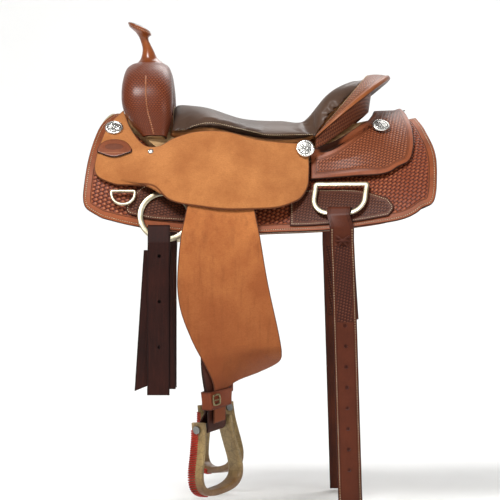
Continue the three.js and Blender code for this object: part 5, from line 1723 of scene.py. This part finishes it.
def hung_panel(name, node, body, side, low, high, front, back, lift, thick, finish, pitch=3.0):
    """A hanging leather between two heights and two edges, with both its faces and a round edge."""
    rows = np.concatenate([[high, high - 0.4, high - 1.2], np.arange(high - 2.5, low + 2.5, -pitch),
                           [low + 1.2, low + 0.4, low]])
    cols = edge_steps(150, pitch, thick / 2)
    z, u = np.meshgrid(rows, cols, indexing="ij")
    across = front(-z) + (back(-z) - front(-z)) * u - LEATHER_X
    edge = np.stack([np.concatenate([front(-rows), back(-rows)[::-1]]),
                     np.concatenate([rows, rows[::-1]])], -1)
    closed = np.vstack([edge, edge[:1]])
    run = lengths(closed)
    stops = np.linspace(0, run[-1], int(run[-1] / 2), endpoint=False)
    line = spread_along(stops, run, closed)
    layout = np.stack([across + LEATHER_X, z], -1)
    rim = rim_distance(layout.reshape(-1, 2), line).reshape(z.shape)
    rim[[0, -1], :], rim[:, [0, -1]] = 0, 0
    half = thick / 2
    fall = half * (1 - np.sqrt(np.clip(1 - (1 - np.clip(rim / half, 0, 1)) ** 2, 0, 1)))
    sheets = [hang(across, lift + fall, z, side), hang(across, lift + thick - fall, z, side)]
    faces = np.vstack([grid_quads(*z.shape), grid_quads(*z.shape, z.size, True)])
    piece = new_piece(name, np.concatenate([sheet.reshape(-1, 3) for sheet in sheets]), faces, body, finish,
                      {"rim": np.tile(rim.ravel(), 2)}, np.tile(layout.reshape(-1, 2), (2, 1)) / 1000)
    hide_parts(node)


def fender_leather():
    hide = rough_leather("fender_rough_out", tint(190, 118, 64), tint(164, 94, 48), tint(112, 62, 32))
    z = hide.node("ShaderNodeSeparateXYZ", {}, hide.place())
    low = hide.span(Wire(hide, z.socket.node.outputs[2]) + 0.05 * hide.noise(9.0), -0.12, -0.47)
    hide.colour = hide.mix(low * 0.85, hide.colour, tint(112, 50, 22))
    wiped = hide.node("ShaderNodeMapping", {}, hide.place(), (0, 0, 0), (0, 0, 0), (60, 60, 5))
    streak = hide.noise(1.5, 4.0, 0.6, wiped)
    hide.colour = hide.mix(hide.span(streak, 0.5, 0.75, 0.0, 0.35), hide.colour, tint(104, 56, 30))
    burnish(hide, tint(92, 48, 26), 2.4)
    hide.bump(hide.height, 0.55, 0.0008)
    return hide.done(hide.colour, hide.rough)


def leather_loop(name, node, side, finish):
    """The stirrup leather: its front run comes down, goes round the bolt and back up behind. Its section
    is a flat oblong carried down the loop, with the width along the hanging leather's own across
    direction."""
    radius = SLEEVE + 0.7 + LEATHER_THICK / 2
    bolt, mid = -SLEEVE - 0.7, LEATHER_THICK / 2
    back = -mid - LEATHER_GAP
    turn = np.radians(np.linspace(0, 180, 25))
    down = np.arange(LEATHER_TOP, -524, -4.0)
    up = np.arange(-523, TURN_FROM - 7, 4.0)
    bend = np.stack([bolt + radius * np.cos(turn), BOLT_Z - radius * np.sin(turn)], -1)
    path = np.vstack([np.stack([down * 0 + mid, down], -1), [[mid, -524], [mid, -540]], bend,
                      [[-17, -545], [-9, -532]], np.stack([up * 0 + back, up], -1)])
    ahead = unit(np.gradient(path, axis=0))
    half = LEATHER_THICK / 2
    roll = np.linspace(-np.pi / 2, np.pi / 2, 7)
    flat_run = np.linspace(-1, 1, 14)[1:-1] * (LEATHER_WIDE / 2 - half)
    right = np.stack([LEATHER_WIDE / 2 - half + half * np.cos(roll), half * np.sin(roll)], -1)
    section = np.vstack([right, np.stack([flat_run[::-1], flat_run * 0 + half], -1), right[::-1] * [-1, 1],
                         np.stack([flat_run, flat_run * 0 - half], -1)])
    off = path[:, :1] - section[None, :, 1] * ahead[:, 1:]
    z = path[:, 1:] + section[None, :, 1] * ahead[:, :1]
    rings = hang(np.broadcast_to(section[None, :, 0], off.shape), off, z, side)
    rows, count = off.shape
    run = lengths(path)
    points, faces = drawn_together(rings)
    rim = np.append(np.tile(LEATHER_WIDE / 2 - np.abs(section[:, 0]), rows), [30, 30])
    layout = np.stack([np.tile(section[:, 0], rows), np.repeat(run, count)], -1)
    piece = new_piece(name, points, faces, body_of_fender[side], finish, {"rim": rim},
                      np.vstack([layout, [[0, 0], [0, run[-1]]]]) / 1000)
    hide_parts(node)


def stirrup_leather_hide():
    hide = leather("stirrup_leather_hide", tint(46, 20, 13), tint(78, 38, 24), 0.45, coat=0.05)
    # The scored line is darkened as painted shade.
    score(hide, 3.0, 0.7, 1.0, 0.5, tint(38, 18, 12))
    burnish(hide, tint(44, 22, 16))
    hide.bump(hide.height, 0.4, 0.0007)
    return hide.done(hide.colour, hide.rough)


def hobble_leather():
    hide = leather("hobble_leather", tint(100, 45, 25), tint(130, 65, 38), 0.45, coat=0.06)
    hide.colour = hide.mix(hide.span(hide.noise(30.0), 0.5, 0.75, 0.0, 0.5), hide.colour, tint(78, 38, 24))
    # The scored line is darkened as painted shade.
    score(hide, 3.0, 0.7, 1.0, 0.5, tint(54, 26, 16))
    burnish(hide, tint(58, 28, 18))
    hide.bump(hide.height, 0.45, 0.0007)
    return hide.done(hide.colour, hide.rough)


def hobble(name, node, side, finish):
    """A strap wrapped round both leathers: an oblong with rounded corners in plan, carried down its
    width."""
    high = FENDER_LIFT + FENDER_THICK + 1.2
    corners = []
    for grow in (0.0, float(HOBBLE_THICK)):
        turn = np.linspace(0, np.pi / 2, 7)
        radius = 1.2 + grow
        a, b0, b1 = HOBBLE_HALF + grow, HOBBLE_IN - grow, high + grow
        quarter = [(a - radius, b1 - radius, 0), (-a + radius, b1 - radius, 1),
                   (-a + radius, b0 + radius, 2),
                   (a - radius, b0 + radius, 3)]
        corners.append(np.vstack([np.stack([x + radius * np.cos(turn + k * np.pi / 2),
                                            y + radius * np.sin(turn + k * np.pi / 2)], -1)
                                  for x, y, k in quarter]))
    inner, outer = (np.vstack([line, line[:1]]) for line in corners)

    def even(line, count=120):
        run = lengths(line)
        stops = np.linspace(0, run[-1], count, endpoint=False)
        return spread_along(stops, run, line)

    inner, outer = even(inner), even(outer)
    wide = HOBBLE_TOP - HOBBLE_FOOT
    drop = np.concatenate([[0, 0.5, 1.5], np.linspace(3, wide - 3, 12), [wide - 1.5, wide - 0.5, wide]])
    rim = np.minimum(drop, wide - drop)
    fall = 1.5 * (1 - np.sqrt(np.clip(1 - (1 - np.clip(rim / 1.5, 0, 1)) ** 2, 0, 1)))
    rings = []
    for part, share in ((outer, -fall), (inner, fall)):
        spread = part[None] + (outer - inner)[None] / HOBBLE_THICK * share[:, None, None]
        rings.append(hang(spread[..., 0], spread[..., 1],
                          np.broadcast_to((HOBBLE_TOP - drop)[:, None], spread.shape[:2]), side))
    loop = np.concatenate([rings[0], rings[1][::-1]])
    faces = grid_quads(len(loop), 120, round_rows=True, round_cols=True)
    rims = np.tile(np.concatenate([rim, rim[::-1]])[:, None], (1, 120)).ravel()
    piece = new_piece(name, loop.reshape(-1, 3), faces, body_of_fender[side], finish, {"rim": rims})
    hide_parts(node)


def brass():
    metal = Finish("dull_brass", Metallic=1.0)
    cloud, pit = metal.noise(120.0, 4.0, 0.6), metal.noise(900.0, 3.0, 0.65)
    metal.bump(pit, 0.3, 0.0004)
    return metal.done(metal.mix(metal.span(cloud, 0.3, 0.7), tint(96, 86, 62), tint(168, 154, 114)),
                      0.34 + 0.2 * cloud)


body_of_fender = {-1: "fender_near", 1: "fender_off"}
fender_hide, loop_hide, hobble_hide, brass_finish = (
    fender_leather(), stirrup_leather_hide(), hobble_leather(), brass())
for word, side in SIDES:
    body = body_of_fender[side]
    hung_panel(f"fender_{word}_leather", f"fender_{word}", body, side, -549, FENDER_TOP, fender_front,
               fender_back,
               FENDER_LIFT, FENDER_THICK, fender_hide)
    leather_loop(f"stirrup_leather_{word}_hide", f"stirrup_leather_{word}", side, loop_hide)
    hobble(f"hobble_strap_{word}_leather", f"hobble_strap_{word}", side, hobble_hide)
    node = f"hobble_buckle_{word}"
    points = node_points(node)
    centre, (down, along, out) = node_frame(node, side)

    def spread(way):
        """The points' reach in one direction."""
        return np.ptp((points - points.mean(0)) @ way)

    ring = np.array([[-10, -11], [10, -11], [10, 11], [-10, 11]], float)
    t = np.arange(4 * 24) / 24
    k = t.astype(int)
    w = (t - k)[:, None]
    square_line = ring[k] * (1 - w) + ring[(k + 1) % 4] * w
    soft = square_line / np.maximum(np.linalg.norm(square_line / [10, 11], axis=1), 1)[:, None] ** 0.35
    middle = (points.max(0) + points.min(0)) / 2
    path = middle + soft[:, :1] * along + soft[:, 1:] * down
    ahead = np.roll(path, -1, 0) - np.roll(path, 1, 0)
    outward = unit(np.cross(ahead, out))
    bar_loop(f"{node}_cast", node, body, path, outward, out, 3.8, 2.9, brass_finish, corner=2.4, sides=14)
    tongue = [middle - 11 * down + 0.4 * out, middle - 4 * down + 1.6 * out, middle + 4 * down + 1.6 * out,
              middle + 11.5 * down + 1.2 * out]
    thong(f"{node}_tongue", tongue, 1.2, body, brass_finish)

# Stirrups. Bent wood under khaki rawhide, about 32 mm deep, worn brown on the tread. Red lacing is whipped
# through a row of holes along the outer branch's face. Each one turns on a steel bolt in its leather.
STIRRUP_DEEP, EYE_OUT = 32, 44
LACE_PITCH, LACE_THICK = 4.4, 3.4
BRANCH = np.array([[44, -13, 9], [44, 0, 10], [46, 18, 10], [54, 48, 10], [63, 78, 11], [66, 98, 12],
                   [61, 115, 13], [46, 126, 14], [24, 131, 14], [0, 132, 14]], float)


def stirrup_frame(side):
    """The bolt's middle, and the ways along it, out of the stirrup's face, and down."""
    centre = hang(np.array(0.0), np.array(-SLEEVE - 0.7), np.array(float(BOLT_Z)), side)
    turn, tilt = math.radians(TURN_ANGLE), math.radians(TURN_TILT)
    along = np.array([math.cos(turn) * math.cos(tilt), -side * math.sin(turn) * math.cos(tilt),
                      math.sin(tilt)])
    out = np.array([math.sin(turn), side * math.cos(turn), 0])
    down = np.cross(along, out)
    return centre, along, out, down * -np.sign(down[2]) / np.linalg.norm(down)


def stirrup_line(count):
    """The stirrup's middle line and thickness: one branch, the tread and the other branch, evenly walked."""
    whole = np.vstack([BRANCH, BRANCH[-2::-1] * [-1, 1, 1]])
    fine = smooth_line(whole, np.linspace(0, 1, 600))
    run = np.append(0, np.cumsum(np.linalg.norm(np.diff(fine[:, :2], axis=0), axis=1)))
    stops = np.linspace(0, run[-1], count)
    return spread_along(stops, run, fine), stops


def rawhide():
    hide = Finish("rawhide", Coat_Weight=0.25, Coat_Roughness=0.3, Specular_IOR_Level=0.4)
    split = hide.node("ShaderNodeSeparateXYZ", {}, hide.place())
    z = Wire(hide, split.socket.node.outputs[2])
    cloud, fine = hide.noise(26.0, 5.0, 0.65), hide.noise(340.0, 3.0, 0.6)
    base = hide.mix(hide.span(cloud, 0.34, 0.66), tint(108, 86, 50), tint(162, 136, 88))
    low = hide.span(z + 0.03 * cloud, -0.615, -0.675)
    base = hide.mix(low * 0.75, base, tint(104, 62, 30))
    cracks = hide.span(hide.grains(70.0), 0.0, 0.06, 0.45, 0.0)
    base = hide.mix(cracks, base, tint(78, 58, 32))
    hide.bump(fine + cloud * 0.6, 0.4, 0.0008)
    return hide.done(base, 0.42 + 0.22 * fine)


def red_lace():
    hide = leather("red_lace", tint(128, 28, 22), tint(188, 58, 40), 0.4, coat=0.2)
    hide.bump(hide.height, 0.3, 0.0004)
    return hide.done(hide.colour, hide.rough)


rawhide_finish, red_finish = rawhide(), red_lace()
for word, side in SIDES:
    centre, along, out, down = stirrup_frame(side)
    body = f"stirrup_{word}"
    line, stops = stirrup_line(190)
    ahead = unit(np.gradient(line[:, :2], axis=0))
    square = np.stack([-ahead[:, 1], ahead[:, 0]], -1)
    turn = np.arange(36) / 36 * 2 * np.pi
    size = (np.abs(np.cos(turn)) ** 5 + np.abs(np.sin(turn)) ** 5) ** -0.2
    deep, thick = np.cos(turn) * size * STIRRUP_DEEP / 2, np.sin(turn) * size / 2
    flat_point = line[:, None, :2] + square[:, None] * (line[:, 2:, None] * thick[None, :, None])

    def place(pair, n):
        """Flat pairs set on the stirrup's side, this far out of its face."""
        return centre + pair[..., :1] * along + pair[..., 1:] * down + np.asarray(n)[..., None] * out

    rings = place(flat_point, np.broadcast_to(deep, flat_point.shape[:2]))
    made = closed_stack(f"stirrup_{word}_rawhide", f"stirrup_{word}", rings, rawhide_finish, body)
    punch(made, [(centre + end * EYE_OUT * along, along, 5.6) for end in (-1, 1)])
    # Whip lacing: one turn of lace at each hole down the outer branch, from its hole round the branch's
    # edge.
    walk = np.arange(14, 168, LACE_PITCH)
    branch = line[len(line) // 2:][::-1]
    run = np.append(0, np.cumsum(np.linalg.norm(np.diff(branch[:, :2], axis=0), axis=1)))
    for n, stop in enumerate(walk):
        spot = np.array([np.interp(stop, run, branch[:, k]) for k in range(3)])
        near_spot = np.array([np.interp(stop + 1, run, branch[:, k]) for k in range(2)])
        tangent = (near_spot - spot[:2]) / np.linalg.norm(near_spot - spot[:2])
        normal = np.array([-tangent[1], tangent[0]])
        normal *= np.sign(normal[0] * spot[0])
        face = spot[2] / 2
        shape = [(face - 1.0, 0.5, 0.0), (face + 0.8, -2.0, 0.3), (face + 1.1, -8.5, 1.2),
                 (face + 0.7, -14.6, 2.0),
                 (face - 2.0, -17.0, 2.6), (face - 6.5, -17.0, 3.2), (face - 9.5, -14.0, 3.8)]
        path = [place(spot[:2] + normal * a + tangent * c, b) for a, b, c in shape]
        thong(f"whip_{word}_{n}", np.array(path), LACE_THICK / 2, body, red_finish)


# Studio. A plain pale sheet that sweeps up behind the saddle, four soft lamps, and a level camera on the
# near side that looks straight across, with the horse's head to the left.
def backdrop():
    """One sheet: a flat floor, then a quarter circle of 1.5 m radius, then a wall."""
    reach, bend, floor_z = 6000, 1500, cad_box[0][2] * 1000 - 4
    turn = np.linspace(0, math.pi / 2, 17)
    deep = np.concatenate([[-9000], 1200 + bend * np.sin(turn), [1200 + bend]])
    high = np.concatenate([[0], bend * (1 - np.cos(turn)), [5000]]) + floor_z
    points = [(x, y, z) for x in (-reach, reach) for y, z in zip(deep, high)]
    paint = Finish("backdrop_paper", Specular_IOR_Level=0.1)
    paper = paint.mix(paint.noise(3.0), tint(244, 244, 243), tint(249, 249, 248))
    mesh = bpy.data.meshes.new("backdrop")
    mesh.from_pydata((np.array(points) / 1000).tolist(), [], grid_quads(2, len(deep), flip=True).tolist())
    mesh.polygons.foreach_set("use_smooth", [True] * len(mesh.polygons))
    mesh.materials.append(paint.done(paper, 0.9))
    sheet = bpy.data.objects.new("backdrop", mesh)
    bpy.context.collection.objects.link(sheet)


def lamp(name, place, size, power):
    """A square soft lamp turned to face the middle of the saddle."""
    soft = bpy.data.lights.new(name, "AREA")
    soft.size, soft.energy = size, power
    made = bpy.data.objects.new(name, soft)
    made.location = place
    x, y, z = np.array(place) - np.array([0, 0, -0.2])
    made.rotation_euler = (math.atan2(math.hypot(x, y), z), 0, math.atan2(y, x) + math.pi / 2)
    bpy.context.collection.objects.link(made)


backdrop()
lamp("key", (-1.2, -2.4, 2.8), 1.2, 150)
lamp("fill", (2.6, -2.8, 0.8), 2.0, 34)
lamp("back", (0.8, 2.4, 2.4), 1.8, 70)
lamp("low", (-0.6, -3.2, -0.4), 1.6, 4)
room = bpy.data.worlds.new("room")
room.use_nodes = True
room.node_tree.nodes["Background"].inputs["Color"].default_value = (1, 1, 1, 1)
room.node_tree.nodes["Background"].inputs["Strength"].default_value = 0.26
bpy.context.scene.world = room
bpy.context.scene.view_settings.view_transform = "Standard"

lens = bpy.data.cameras.new("camera")
lens.lens, lens.sensor_width = 172, 36
camera = bpy.data.objects.new("camera", lens)
camera.location = (-0.020, -5.0, -0.207)
camera.rotation_euler = (math.pi / 2, 0, 0)
bpy.context.collection.objects.link(camera)
bpy.context.scene.camera = camera
